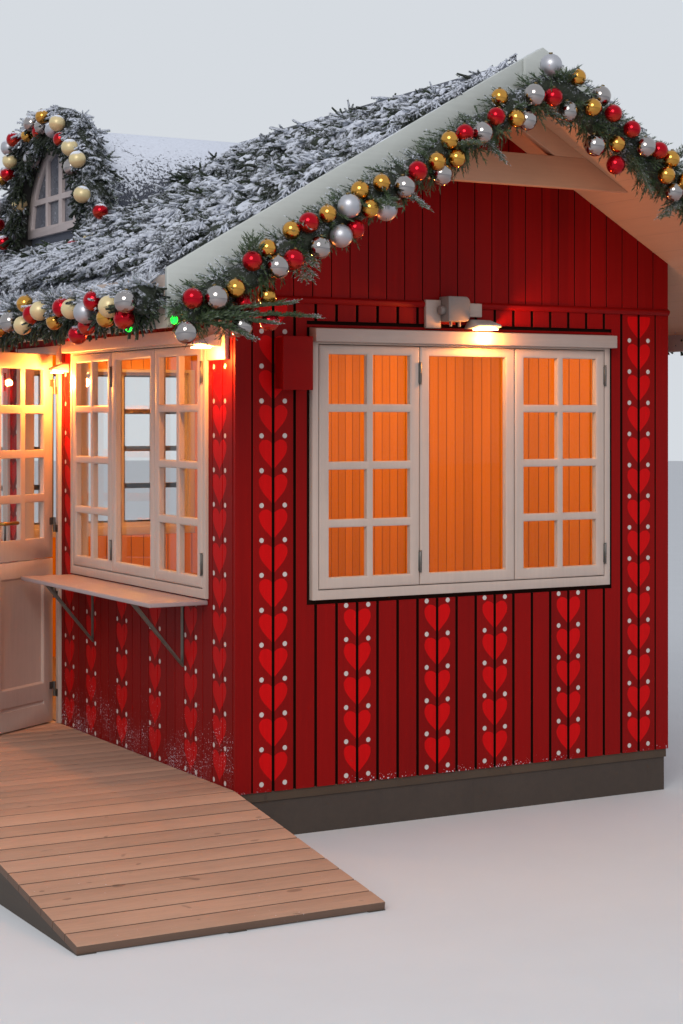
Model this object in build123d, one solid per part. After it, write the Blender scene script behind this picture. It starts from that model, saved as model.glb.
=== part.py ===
# Wooden market hut: a boarded timber hut on ground beams with a gable roof, a barrel dormer,
# casement windows, a two-part door that stands open, serving shelves and a timber deck with a ramp.
# Millimetres. The origin is at ground level under the centre of the hut's plan.
# +X is to the right along the gable front, +Y runs back along the serving side, +Z is up.
import math
import os

from build123d import *

# Plan and heights of the hut
hut_width = 2334.0
hut_length = 4700.0
wall_thickness = 70.0
wall_base = 200.0
side_wall_height = 2346.0
roof_pitch = 30.0

# Ground beams and floor
beam_width = 100.0
beam_height = 160.0
beam_inset = 15.0
beam_joint = 0.4
floor_inset = 8.0
floor_board = 20.0

# Roof
roof_thickness = 110.0
eave_overhang = 540.0
gable_overhang = 555.0
ridge_joint = 0.4
fascia_thickness = 22.0
fascia_height = 205.0
fascia_rise = 8.0
bargeboard_thickness = 25.0
bargeboard_depth = 165.0
bargeboard_rise = 30.0
bargeboard_reach = 12.0
peak_width = 190.0
peak_height = 210.0
peak_side = 147.0
peak_thickness = 18.0
ridge_cap_width = 170.0
ridge_cap_thickness = 6.0

# Gable truss under the roof overhang
truss_overhang = 300.0
truss_thickness = 45.0
truss_rafter_depth = 85.0
collar_height = 140.0
collar_drop = 250.0

# Windows, seen from outside
window_width = 1606.0
window_height = 1120.0
window_sill_height = 810.0
serving_window_offset = 1281.0
casing_side = 30.0
casing_top = 8.0
casing_bottom = 42.0
casing_proud = 15.0
casing_stop = 14.0
sash_count = 3
sash_gap = 4.0
sash_recess = 2.0
sash_thickness = 40.0
sash_stile = 48.0
sash_top_rail = 40.0
sash_bottom_rail = 50.0
upright_bar = 31.0
cross_bar = 35.0
bar_thickness = 26.0
pane_columns = 2
pane_rows = 4
glass_thickness = 5.0
glass_cover = 12.0
glass_clearance = 1.0
head_board_height = 63.0
head_board_front = 58.0
head_board_depth = 62.0
head_board_overlap = 8.0
belt_gap = 102.0
belt_thickness = 32.0
belt_proud = 14.0
belt_lower_lip = 7.0
belt_face_start = 13.0
belt_face_end = 22.0

# Door
door_leaf_width = 530.0
door_leaf_thickness = 38.0
door_leaf_height = 1902.0
door_side_gap = 5.0
door_floor_gap = 8.0
door_split_height = 845.0
door_split_gap = 6.0
door_frame_width = 40.0
door_frame_depth = 80.0
door_stile = 80.0
door_rail = 80.0
door_bottom_rail = 104.0
door_bar = 42.0
door_panel_thickness = 14.0
door_moulding = 10.0
door_low_rail = 205.0
door_groove_rise = 100.0
door_groove_height = 18.0
door_groove_depth = 6.0
door_open_angle = 125.0
hinge_radius = 7.0
hinge_side_gap = 3.0
hinge_length = 76.0
hinge_plate_width = 34.0
hinge_plate_thickness = 2.5
hinge_end_offset = 130.0
hinge_running_gap = 0.6
lock_plate_width = 40.0
lock_plate_height = 240.0
lock_plate_thickness = 3.0
lock_plate_corner = 13.0
lock_height = 1055.0
lever_radius = 9.0
lever_stand = 45.0
lever_length = 115.0
lever_bend = 15.0
lever_seat_gap = 0.4

# Serving shelves and brackets
shelf_length = 1600.0
shelf_depth = 280.0
shelf_thickness = 20.0
shelf_below_window = 6.0
bracket_spacing = 1070.0
bracket_drop = 300.0
bracket_reach = 250.0
bracket_bar = 25.0
bracket_thickness = 5.0

# Dormer
dormer_radius = 545.0
dormer_shell = 45.0
dormer_crown_below_ridge = 6.0
dormer_setback = 136.0
dormer_hood = 96.0
dormer_front_thickness = 30.0
dormer_frame_width = 62.0
dormer_frame_thickness = 24.0
dormer_sill_height = 48.0
dormer_bar = 30.0
dormer_middle_bar = 48.0
dormer_bar_spacing = 205.0
dormer_transom_height = 190.0
dormer_glass_thickness = 4.0

# Deck and ramp
deck_width = 1200.0
deck_top = 220.0
deck_board = 28.0
deck_gap = 6.0
ramp_gap = 0.4
joist_width = 70.0
joist_count = 3
ramp_length = 1255.0
ramp_toe = 30.0

# Meter box
box_width = 145.0
box_height = 230.0
box_depth = 90.0
box_lid_depth = 20.0
box_lid_lap = 6.0
box_gap = 28.5
box_drop = 210.0

# Lamp over the front window: two plates with a sensor drum between them and a visored head below
lamp_width = 300.0
lamp_x = -77.0
lamp_gap = 9.0
lamp_board_thickness = 20.0
left_plate_width = 79.0
left_plate_height = 128.0
right_plate_width = 105.0
right_plate_height = 62.0
right_plate_rise = 56.0
drum_height = 112.0
drum_depth = 84.0
drum_rise = 31.0
drum_corner = 26.0
lamp_joint = 0.5
lamp_head_width = 147.0
lamp_head_overhang = 58.0
lamp_head_taper = 24.0
lamp_head_depth = 105.0
lamp_head_height = 42.0
lamp_head_rise = 1.0
lamp_top_share = 0.35
lamp_visor_share = 0.45
lamp_lip_share = 0.2
lamp_bottom_share = 0.3

# Lamps on the side wall
corner_plate_margin = 60.0
corner_plate_window_gap = 8.0
corner_plate_height = 470.0
corner_plate_height_above_base = 1850.0
corner_lamp_inset = 35.0
corner_lamp_height = 55.0
door_lamp_width = 60.0
door_lamp_height = 44.0
door_lamp_depth = 94.0
door_lamp_offset = 400.0
door_lamp_height_above_base = 1835.0

# Decoration of fir branches: soft solids of the right size and place
bough_courses = 3
bough_width = 260.0
bough_butt = 84.0
bough_tip = 48.0
bough_valley = 36.0
branch_gap = 0.5
branch_edge = 20.0
garland_radius = 85.0
garland_gap = 0.5
garland_foot_drop = 205.0
garland_peak_drop = 165.0
eave_garland_rise = 15.6
dormer_garland_thickness = 130.0
dormer_garland_depth = 190.0
dormer_garland_lap = 50.0

# Values that follow from the sizes above
slope = math.tan(math.radians(roof_pitch))
plumb = 1.0 / math.cos(math.radians(roof_pitch))
half_width = hut_width / 2
half_length = hut_length / 2
floor_top = wall_base + floor_board
eave_z = wall_base + side_wall_height
ridge_z = eave_z + half_width * slope
roof_top_ridge = ridge_z + roof_thickness * plumb
roof_half_span = half_width + eave_overhang
roof_end = half_length + gable_overhang
inner_x = half_width - wall_thickness
inner_y = half_length - wall_thickness
window_bottom = wall_base + window_sill_height
window_top = window_bottom + window_height
door_bottom = floor_top + door_floor_gap
door_top = door_bottom + door_leaf_height
door_clear = door_leaf_width + 2 * door_side_gap
door_outer = door_clear + 2 * door_frame_width
door_head_top = door_top + door_side_gap + door_frame_width
hinge_x = -half_width - casing_proud - hinge_radius
hinge_y = -door_leaf_width / 2 - hinge_side_gap
dormer_crown = roof_top_ridge - dormer_crown_below_ridge
dormer_axis_z = dormer_crown - dormer_radius
dormer_front_x = -half_width + dormer_setback

# Local planes for the four window positions: x runs right along the wall as seen from outside
front_place = Pos(0, -half_length, 0)
rear_place = Pos(0, half_length, 0) * Rot(0, 0, 180)
near_serving_place = Pos(-half_width, -serving_window_offset, 0) * Rot(0, 0, -90)
far_serving_place = Pos(-half_width, serving_window_offset, 0) * Rot(0, 0, -90)
window_places = [front_place, rear_place, near_serving_place, far_serving_place]


def block(x0, x1, y0, y1, z0, z1):
    """A straight block between two corners."""
    return Pos((x0 + x1) / 2, (y0 + y1) / 2, (z0 + z1) / 2) * Box(x1 - x0, y1 - y0, z1 - z0)


def prism_along_y(points, y0, y1):
    """A profile given as (x, z) points, run from y0 to y1."""
    outline = Polyline(*[(x, y0, z) for x, z in points], close=True)
    return extrude(make_face(outline), amount=y1 - y0, dir=(0, 1, 0))


def prism_along_x(points, x0, x1):
    """A profile given as (y, z) points, run from x0 to x1."""
    outline = Polyline(*[(x0, y, z) for y, z in points], close=True)
    return extrude(make_face(outline), amount=x1 - x0, dir=(1, 0, 0))


def soffit_z(x):
    """Height of the underside of the roof at a distance x from the centre line."""
    return ridge_z - abs(x) * slope


def group(solids):
    """Several separate solids as one piece of the hut."""
    return Compound(children=[solid for part in solids for solid in part.solids()])


def mirror_in_x(shape):
    return mirror(shape, about=Plane.YZ)


def mirror_in_y(shape):
    return mirror(shape, about=Plane.XZ)


# Ground beams and floor


def ground_beams():
    """Three beams along the hut, and short ones between them at both ends."""
    beam_y = half_length - beam_inset
    outer_x = half_width - beam_inset
    rows = [-outer_x + beam_width / 2, 0, outer_x - beam_width / 2]
    beams = [block(x - beam_width / 2, x + beam_width / 2, -beam_y, beam_y, 0, beam_height) for x in rows]
    for left, right in zip(rows, rows[1:]):
        x0 = left + beam_width / 2 + beam_joint
        x1 = right - beam_width / 2 - beam_joint
        cross = block(x0, x1, -beam_y, -beam_y + beam_width, 0, beam_height)
        beams += [cross, mirror_in_y(cross)]
    return group(beams)


def floor():
    """Boarded floor: its frame carries the walls, its boards fill the room and the doorway."""
    x = half_width - floor_inset
    y = half_length - floor_inset
    frame = block(-x, x, -y, y, beam_height, wall_base)
    boards = block(-inner_x, inner_x, -inner_y, inner_y, wall_base, floor_top)
    threshold = block(-x, -inner_x, -door_outer / 2, door_outer / 2, wall_base, floor_top)
    return frame + boards + threshold


# Walls


def window_hole():
    return block(
        -window_width / 2, window_width / 2, -wall_thickness, 2 * wall_thickness, window_bottom, window_top
    )


def gable_wall():
    outline = [
        (-half_width, wall_base),
        (half_width, wall_base),
        (half_width, eave_z),
        (0, ridge_z),
        (-half_width, eave_z),
    ]
    wall = prism_along_y(outline, -half_length, -inner_y)
    return wall - front_place * window_hole()


def side_wall(y0, y1, z0=wall_base):
    """A stretch of the left side wall, its top cut to the slope of the roof."""
    outline = [
        (-half_width, z0),
        (-inner_x, z0),
        (-inner_x, soffit_z(inner_x)),
        (-half_width, soffit_z(half_width)),
    ]
    return prism_along_y(outline, y0, y1)


def serving_wall():
    """The near serving wall, from the gable wall to the door."""
    return side_wall(-inner_y, -door_outer / 2) - near_serving_place * window_hole()


def belt_mouldings():
    """A moulding across each gable wall above the window."""
    z0 = window_top + head_board_height + belt_gap
    face = -half_length
    profile = [
        (face, z0),
        (face - belt_lower_lip, z0),
        (face - belt_proud, z0 + belt_face_start),
        (face - belt_proud, z0 + belt_face_end),
        (face, z0 + belt_thickness),
    ]
    front = prism_along_x(profile, -half_width, half_width)
    left = lamp_x - lamp_width / 2
    gap = block(left, left + lamp_width, face - belt_thickness, face, z0 - 1, z0 + belt_thickness + 1)
    return group([front - gap, mirror_in_y(front)])


# Windows


def casing():
    """The fixed frame of a window, a little proud of the boards, with a stop behind the sashes."""
    half = window_width / 2
    stop_face = sash_face() + sash_thickness
    whole = block(-half, half, -casing_proud, wall_thickness, window_bottom, window_top)
    steps = [(0, -2 * casing_proud, stop_face), (casing_stop, stop_face - 1, 2 * wall_thickness)]
    for lip, start, end in steps:
        whole -= block(
            -half + casing_side + lip,
            half - casing_side - lip,
            start,
            end,
            window_bottom + casing_bottom + lip,
            window_top - casing_top - lip,
        )
    return whole


def sash_width():
    return (window_width - 2 * casing_side - (sash_count + 1) * sash_gap) / sash_count


def sash_centres():
    pitch = sash_width() + sash_gap
    return [(i - (sash_count - 1) / 2) * pitch for i in range(sash_count)]


def sash_face():
    return -casing_proud + sash_recess


def glass_box(centre, clearance):
    """The sheet of glass of one sash, behind its bars."""
    half = sash_width() / 2 - sash_stile + glass_cover - clearance
    face = sash_face() + bar_thickness
    z0 = window_bottom + casing_bottom + sash_gap + sash_bottom_rail - glass_cover
    z1 = window_top - casing_top - sash_gap - sash_top_rail + glass_cover - clearance
    return centre - half, centre + half, face, z0, z1


def sash(centre, divided):
    """One casement: stiles and rails, glazing bars if divided, and a rebate for the glass."""
    width = sash_width()
    z0 = window_bottom + casing_bottom + sash_gap
    z1 = window_top - casing_top - sash_gap
    face = sash_face()
    leaf = block(centre - width / 2, centre + width / 2, face, face + sash_thickness, z0, z1)
    columns = pane_columns if divided else 1
    rows = pane_rows if divided else 1
    clear_width = width - 2 * sash_stile
    clear_height = z1 - z0 - sash_bottom_rail - sash_top_rail
    pane_width = (clear_width - (columns - 1) * upright_bar) / columns
    pane_height = (clear_height - (rows - 1) * cross_bar) / rows
    for column in range(columns):
        x0 = centre - clear_width / 2 + column * (pane_width + upright_bar)
        for row in range(rows):
            p0 = z0 + sash_bottom_rail + row * (pane_height + cross_bar)
            leaf -= block(x0, x0 + pane_width, face - 1, face + sash_thickness + 1, p0, p0 + pane_height)
    g0, g1, back, h0, h1 = glass_box(centre, 0)
    return leaf - block(g0, g1, back, face + sash_thickness + 1, h0, h1)


def sashes():
    """Three casements: the middle one has a single pane."""
    middle = sash_count // 2
    return [sash(x, i != middle) for i, x in enumerate(sash_centres())]


def glass_sheets():
    sheets = []
    for centre in sash_centres():
        x0, x1, face, z0, z1 = glass_box(centre, glass_clearance)
        sheets.append(block(x0, x1, face, face + glass_thickness, z0, z1))
    return sheets


def head_board():
    """A weather board over the window, its top sloped to shed water."""
    half = window_width / 2 + head_board_overlap
    profile = [
        (0, window_top),
        (-head_board_depth, window_top),
        (-head_board_depth, window_top + head_board_front),
        (0, window_top + head_board_height),
    ]
    return prism_along_x(profile, -half, half)


def at_windows(make):
    """The pieces that make() returns, at each of the four windows."""
    return group([place * piece for place in window_places for piece in make()])


# Door: the leaves are made closed and then turned open about the hinge line


def opened(shape):
    return Pos(hinge_x, hinge_y, 0) * Rot(0, 0, door_open_angle) * Pos(-hinge_x, -hinge_y, 0) * shape


def door_frame():
    x0 = -half_width - casing_proud
    x1 = x0 + door_frame_depth
    outer = block(x0, x1, -door_outer / 2, door_outer / 2, floor_top, door_head_top)
    clear = block(
        x0 - 1, x1 + 1, -door_clear / 2, door_clear / 2, floor_top - 1, door_head_top - door_frame_width
    )
    return outer - clear


def leaf_board(z0, z1):
    x0 = -half_width - casing_proud
    return block(x0, x0 + door_leaf_thickness, -door_leaf_width / 2, door_leaf_width / 2, z0, z1)


def split_z():
    return door_bottom + door_split_height


def sunk_panel(leaf, z0, z1):
    """A panel sunk on both faces between stiles, with a sloped moulding round it."""
    face = -half_width - casing_proud
    depth = (door_leaf_thickness - door_panel_thickness) / 2
    width = door_leaf_width - 2 * door_stile
    centre = (z0 + z1) / 2
    height = z1 - z0
    for x, way in ((face, 1), (face + door_leaf_thickness, -1)):
        plane = Plane(origin=(x, 0, centre), x_dir=(0, 1, 0), z_dir=(way, 0, 0))
        mouth = plane * Rectangle(width, height)
        bottom = plane.offset(depth) * Rectangle(width - 2 * door_moulding, height - 2 * door_moulding)
        leaf -= loft([mouth.face(), bottom.face()])
    return leaf


def lower_leaf():
    """A sunk panel over a deep bottom rail that has a groove across it on both faces."""
    z1 = split_z()
    leaf = sunk_panel(leaf_board(door_bottom, z1), door_bottom + door_low_rail, z1 - door_rail)
    face = -half_width - casing_proud
    half = door_leaf_width / 2 - door_stile
    g0 = door_bottom + door_groove_rise
    g1 = g0 + door_groove_height
    leaf -= block(face - 1, face + door_groove_depth, -half, half, g0, g1)
    back = face + door_leaf_thickness
    return leaf - block(back - door_groove_depth, back + 1, -half, half, g0, g1)


def upper_glass_span(clearance):
    half = door_leaf_width / 2 - door_stile + glass_cover - clearance
    z0 = split_z() + door_split_gap + door_bottom_rail - glass_cover
    z1 = door_top - door_rail + glass_cover - clearance
    return half, z0, z1


def upper_leaf():
    z0 = split_z() + door_split_gap
    leaf = leaf_board(z0, door_top)
    face = -half_width - casing_proud
    clear_width = door_leaf_width - 2 * door_stile
    clear_height = door_top - z0 - door_rail - door_bottom_rail
    pane_width = (clear_width - (pane_columns - 1) * door_bar) / pane_columns
    pane_height = (clear_height - (pane_rows - 1) * door_bar) / pane_rows
    for column in range(pane_columns):
        y0 = -clear_width / 2 + column * (pane_width + door_bar)
        for row in range(pane_rows):
            p0 = z0 + door_bottom_rail + row * (pane_height + door_bar)
            leaf -= block(face - 1, face + door_leaf_thickness + 1, y0, y0 + pane_width, p0, p0 + pane_height)
    half, g0, g1 = upper_glass_span(0)
    back = face + bar_thickness
    return leaf - block(back, face + door_leaf_thickness + 1, -half, half, g0, g1)


def upper_glass():
    half, z0, z1 = upper_glass_span(glass_clearance)
    back = -half_width - casing_proud + bar_thickness
    return block(back, back + glass_thickness, -half, half, z0, z1)


def hinge_heights():
    """Bottom of each hinge: two on each leaf."""
    upper_start = split_z() + door_split_gap
    return {
        "lower": [door_bottom + hinge_end_offset, split_z() - hinge_end_offset - hinge_length],
        "upper": [upper_start + hinge_end_offset, door_top - hinge_end_offset - hinge_length],
    }


def hinge_half(z0, on_leaf):
    """Half a butt hinge: a knuckle on the hinge line and a plate on the leaf or on the frame."""
    half = hinge_length / 2 - hinge_running_gap / 2
    base = z0 + (hinge_length / 2 + hinge_running_gap / 2 if on_leaf else 0)
    knuckle = Pos(hinge_x, hinge_y, base) * Cylinder(
        hinge_radius, half, align=(Align.CENTER, Align.CENTER, Align.MIN)
    )
    face = hinge_x + hinge_radius
    x0 = face - hinge_plate_thickness
    way = 1 if on_leaf else -1
    ends = sorted([hinge_y, hinge_y + way * hinge_plate_width])
    return knuckle + block(x0, face, ends[0], ends[1], base, base + half)


def frame_hinges():
    heights = hinge_heights()
    return group([hinge_half(z, False) for z in heights["lower"] + heights["upper"]])


def leaf_hinges(which):
    return group([opened(hinge_half(z, True)) for z in hinge_heights()[which]])


def lock_centre():
    face = -half_width - casing_proud
    return face, door_leaf_width / 2 - door_stile / 2, floor_top + lock_height


def lock_plate():
    """A long plate on the outer face of the upper leaf, with rounded ends."""
    face, y, z = lock_centre()
    plane = Plane(origin=(face, y, z), x_dir=(0, 1, 0), z_dir=(-1, 0, 0))
    outline = RectangleRounded(lock_plate_width, lock_plate_height, lock_plate_corner)
    return opened(extrude(plane * outline, amount=lock_plate_thickness))


def door_lever():
    """A lever on its spindle: it reaches back over the leaf from the free edge."""
    face, y, z = lock_centre()
    seat = face - lock_plate_thickness - lever_seat_gap
    path = FilletPolyline(
        (seat, y, z),
        (seat - lever_stand, y, z),
        (seat - lever_stand, y - lever_length, z),
        radius=lever_bend,
    )
    profile = Plane(origin=path @ 0, z_dir=path % 0) * Circle(lever_radius)
    return opened(sweep(profile, path=path))


# Roof


def roof_slope():
    """The left slope: boards, rafters and soffit as one slab."""
    x1 = -ridge_joint / 2
    rise = roof_thickness * plumb
    outline = [
        (-roof_half_span, soffit_z(roof_half_span)),
        (x1, soffit_z(x1)),
        (x1, soffit_z(x1) + rise),
        (-roof_half_span, soffit_z(roof_half_span) + rise),
    ]
    return prism_along_y(outline, -roof_end, roof_end)


def ridge_cap():
    """A folded strip of felt over the ridge, cut back where the dormer meets it."""
    half = ridge_cap_width / 2
    top = roof_top_ridge
    rise = ridge_cap_thickness * plumb
    outline = [
        (-half, top - half * slope),
        (0, top),
        (half, top - half * slope),
        (half, top - half * slope + rise),
        (0, top + rise),
        (-half, top - half * slope + rise),
    ]
    near = prism_along_y(outline, -roof_end, -dormer_radius - ridge_cap_thickness)
    return group([near, mirror_in_y(near)])


def bargeboards():
    """A board up each edge of the gables, meeting in a plumb joint at the peak."""
    x0 = -roof_half_span - fascia_thickness - bargeboard_reach
    x1 = -ridge_joint / 2
    drop = bargeboard_depth * plumb
    top = roof_top_ridge + bargeboard_rise * plumb
    outline = [
        (x0, top + x0 * slope - drop),
        (x1, top + x1 * slope - drop),
        (x1, top + x1 * slope),
        (x0, top + x0 * slope),
    ]
    board = prism_along_y(outline, -roof_end - bargeboard_thickness, -roof_end)
    pair = [board, mirror_in_x(board)]
    return group(pair + [mirror_in_y(piece) for piece in pair])


def peak_piece():
    """A pointed cover piece over the joint of the bargeboards."""
    top = roof_top_ridge + bargeboard_rise * plumb
    half = peak_width / 2
    outline = [
        (0, top),
        (half, top - half * slope),
        (half, top - peak_side),
        (0, top - peak_height),
        (-half, top - peak_side),
        (-half, top - half * slope),
    ]
    y1 = -roof_end - bargeboard_thickness
    return prism_along_y(outline, y1 - peak_thickness, y1)


def fascias():
    """A board along each eave, on the ends of the rafters."""
    top = soffit_z(roof_half_span) + roof_thickness * plumb - fascia_rise
    x0 = -roof_half_span - fascia_thickness
    board = block(x0, -roof_half_span, -roof_end, roof_end, top - fascia_height, top)
    return group([board, mirror_in_x(board)])


def truss_rafters():
    """The short rafters of the gable truss, standing on the collar."""
    rise = truss_rafter_depth * plumb
    foot_z = ridge_z - collar_drop
    x_top = -ridge_joint / 2
    outline = [
        (-collar_drop / slope, foot_z),
        (-(collar_drop - rise) / slope, foot_z),
        (x_top, soffit_z(x_top) - rise),
        (x_top, soffit_z(x_top)),
    ]
    y0 = -half_length - truss_overhang - truss_thickness / 2
    left = prism_along_y(outline, y0, y0 + truss_thickness)
    pair = [left, mirror_in_x(left)]
    return group(pair + [mirror_in_y(piece) for piece in pair])


def collars():
    """The collar of each gable truss, its ends cut to the slope."""
    z1 = ridge_z - collar_drop
    z0 = z1 - collar_height
    outline = [
        (-(ridge_z - z0) / slope, z0),
        ((ridge_z - z0) / slope, z0),
        ((ridge_z - z1) / slope, z1),
        (-(ridge_z - z1) / slope, z1),
    ]
    y0 = -half_length - truss_overhang - truss_thickness / 2
    piece = prism_along_y(outline, y0, y0 + truss_thickness)
    return group([piece, mirror_in_y(piece)])


# Dormer


def below_roof(rise=0.0):
    """Everything under a plane that lies a rise above the left slope, for cutting pieces to the roof."""
    top = roof_top_ridge + rise * plumb
    outline = [
        (-roof_half_span, top - roof_half_span * slope),
        (half_width, top + half_width * slope),
        (half_width, 0),
        (-roof_half_span, 0),
    ]
    return prism_along_y(outline, -roof_end, roof_end)


def arch_face(radius, x, sill):
    """A half round standing on straight sides down to the sill."""
    left = (x, -radius, dormer_axis_z)
    right = (x, radius, dormer_axis_z)
    crown = (x, 0, dormer_axis_z + radius)
    arc = ThreePointArc(left, crown, right)
    if sill < dormer_axis_z:
        return make_face(arc + Polyline(right, (x, radius, sill), (x, -radius, sill), left))
    return make_face(arc + Line(right, left))


def arch_body(radius, x0, x1, sill):
    return extrude(arch_face(radius, x0, sill), amount=x1 - x0, dir=(1, 0, 0))


def dormer_foot():
    return roof_top_ridge - roof_half_span * slope


def dormer_roof():
    """A barrel vault that runs level back to the ridge and down to the slope."""
    x0 = dormer_front_x - dormer_hood
    outer = arch_body(dormer_radius, x0, -ridge_joint, dormer_foot())
    inner = arch_body(dormer_radius - dormer_shell, x0 - 1, 0, dormer_foot() - 1)
    return outer - inner - below_roof()


def dormer_front():
    """The front board of the dormer under the vault."""
    radius = dormer_radius - dormer_shell
    board = arch_body(radius, dormer_front_x, dormer_front_x + dormer_front_thickness, dormer_foot())
    return board - below_roof()


def dormer_window():
    """An arched frame with a sill, upright bars and a transom."""
    radius = dormer_radius - dormer_shell
    x0 = dormer_front_x - dormer_frame_thickness
    sill = dormer_axis_z + dormer_sill_height
    outer = arch_body(radius, x0, dormer_front_x, dormer_axis_z)
    inner = arch_body(radius - dormer_frame_width, x0 - 1, dormer_front_x + 1, dormer_axis_z)
    ring = outer - (inner - block(x0 - 1, dormer_front_x + 1, -radius, radius, dormer_axis_z, sill))
    bars = []
    for i in (-1, 0, 1):
        half = (dormer_bar if i else dormer_middle_bar) / 2
        y = i * dormer_bar_spacing
        bars.append(block(x0, dormer_front_x, y - half, y + half, dormer_axis_z, dormer_crown))
    z = dormer_axis_z + dormer_transom_height
    bars.append(block(x0, dormer_front_x, -radius, radius, z - dormer_bar / 2, z + dormer_bar / 2))
    for bar in bars:
        ring += bar & arch_body(radius - dormer_frame_width / 2, x0, dormer_front_x, dormer_axis_z)
    back = x0 + dormer_frame_thickness - dormer_glass_thickness
    glass_radius = radius - dormer_frame_width + glass_cover
    rebate = arch_body(glass_radius, back, dormer_front_x + 1, dormer_axis_z)
    return ring - (rebate - block(x0, 0, -radius, radius, 0, sill - glass_cover)) - below_roof()


def dormer_glass():
    radius = dormer_radius - dormer_shell - dormer_frame_width + glass_cover - glass_clearance
    x0 = dormer_front_x - dormer_glass_thickness
    pane = arch_body(radius, x0, dormer_front_x, dormer_axis_z)
    foot = dormer_axis_z + dormer_sill_height - glass_cover
    below_sill = block(x0 - 1, dormer_front_x + 1, -radius - 1, radius + 1, 0, foot)
    return pane - below_sill - below_roof(glass_clearance)


# Serving shelves


def near_side(make):
    """A piece of the near serving window and its copy at the far one."""
    near = make()
    return group([near, mirror_in_y(near)])


def shelf():
    top = window_bottom - shelf_below_window
    y0 = -serving_window_offset - shelf_length / 2
    return block(-half_width - shelf_depth, -half_width, y0, y0 + shelf_length, top - shelf_thickness, top)


def bracket(y):
    """A folding shelf bracket: a wall leg, a shelf leg and a brace between them."""
    top = window_bottom - shelf_below_window - shelf_thickness
    face = -half_width
    t = bracket_thickness
    outline = [
        (face, top),
        (face - bracket_reach, top),
        (face - bracket_reach, top - t),
        (face, top - bracket_drop),
    ]
    whole = prism_along_y(outline, y - bracket_bar / 2, y + bracket_bar / 2)
    inside = [
        (face - t, top - t),
        (face - bracket_reach + 4 * t, top - t),
        (face - t, top - bracket_drop + 4 * t),
    ]
    return whole - prism_along_y(inside, y - bracket_bar, y + bracket_bar)


def brackets():
    ends = [bracket(-serving_window_offset + way * bracket_spacing / 2) for way in (-1, 1)]
    return group(ends + [mirror_in_y(piece) for piece in ends])


# Deck and ramp


def deck_span():
    """Outer and inner edge of the deck, across the serving side."""
    x1 = -half_width - deck_gap
    return x1 - deck_width, x1


def deck_boards():
    x0, x1 = deck_span()
    return block(x0, x1, -half_length, half_length, deck_top - deck_board, deck_top)


def ramp_boards():
    x0, x1 = deck_span()
    y1 = -half_length - ramp_gap
    y0 = y1 - ramp_length
    outline = [(y0, ramp_toe), (y1, deck_top), (y1, deck_top - deck_board), (y0, ramp_toe - deck_board)]
    return prism_along_x(outline, x0, x1)


def joist_rows():
    x0, x1 = deck_span()
    span = deck_width - joist_width
    return [x0 + joist_width / 2 + span * i / (joist_count - 1) for i in range(joist_count)]


def joists():
    """Joists of the deck, and wedge-shaped stringers under the ramp."""
    y1 = -half_length - ramp_gap
    y0 = y1 - ramp_length
    high = deck_top - deck_board
    low = ramp_toe - deck_board
    solids = []
    for x in joist_rows():
        a, b = x - joist_width / 2, x + joist_width / 2
        solids.append(block(a, b, -half_length, half_length, 0, high))
        wedge = [(y0, 0), (y1, 0), (y1, high), (y0, low)]
        solids.append(prism_along_x(wedge, a, b))
    return group(solids)


# Meter box and lamps


def meter_box():
    """A small box with a lid that laps over its body."""
    face = -half_length
    z0 = window_top - box_drop
    front = face - box_depth
    x1 = -window_width / 2 - head_board_overlap - box_gap
    x0 = x1 - box_width
    lap = box_lid_lap
    body = block(x0 + lap, x1 - lap, front + box_lid_depth, face, z0 + lap, z0 + box_height - lap)
    return body + block(x0, x1, front, front + box_lid_depth, z0, z0 + box_height)


def lamp_bottom():
    return window_top + head_board_height + lamp_gap


def corner_plate_span():
    """Near and far edge of the corner plate, between the hut's corner and the head board."""
    far = -serving_window_offset - window_width / 2 - head_board_overlap - corner_plate_window_gap
    return -half_length + corner_plate_margin, far


def lamp_boards():
    """White plates that the lamps are fixed to: two over the front window, one at the corner."""
    z0 = lamp_bottom()
    left = lamp_x - lamp_width / 2
    right = left + lamp_width
    back = -half_length
    face = back - lamp_board_thickness
    side = -half_width
    plates = [
        block(left, left + left_plate_width, face, back, z0, z0 + left_plate_height),
        block(
            right - right_plate_width,
            right,
            face,
            back,
            z0 + right_plate_rise,
            z0 + right_plate_rise + right_plate_height,
        ),
    ]
    c0, c1 = corner_plate_span()
    p0 = wall_base + corner_plate_height_above_base
    plates.append(block(side - lamp_board_thickness, side, c0, c1, p0, p0 + corner_plate_height))
    return group(plates)


def lamp_head(width, depth, height):
    """A wedge-shaped floodlight with its back at y = 0 and its visor towards -y."""
    profile = [
        (0, 0),
        (0, height),
        (-depth * lamp_top_share, height),
        (-depth, height * lamp_visor_share),
        (-depth, height * lamp_lip_share),
        (-depth * lamp_bottom_share, 0),
    ]
    return prism_along_x(profile, -width / 2, width / 2)


def sensor_drum():
    """The rounded sensor housing that fills the space between the two plates."""
    left = lamp_x - lamp_width / 2 + left_plate_width + lamp_joint
    right = lamp_x + lamp_width / 2 - right_plate_width - lamp_joint
    z0 = lamp_bottom() + drum_rise
    drum = block(left, right, -half_length - drum_depth, -half_length, z0, z0 + drum_height)
    rounded = drum.edges().filter_by(Axis.Y).group_by(Axis.X)[-1]
    return fillet(rounded, drum_corner)


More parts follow.
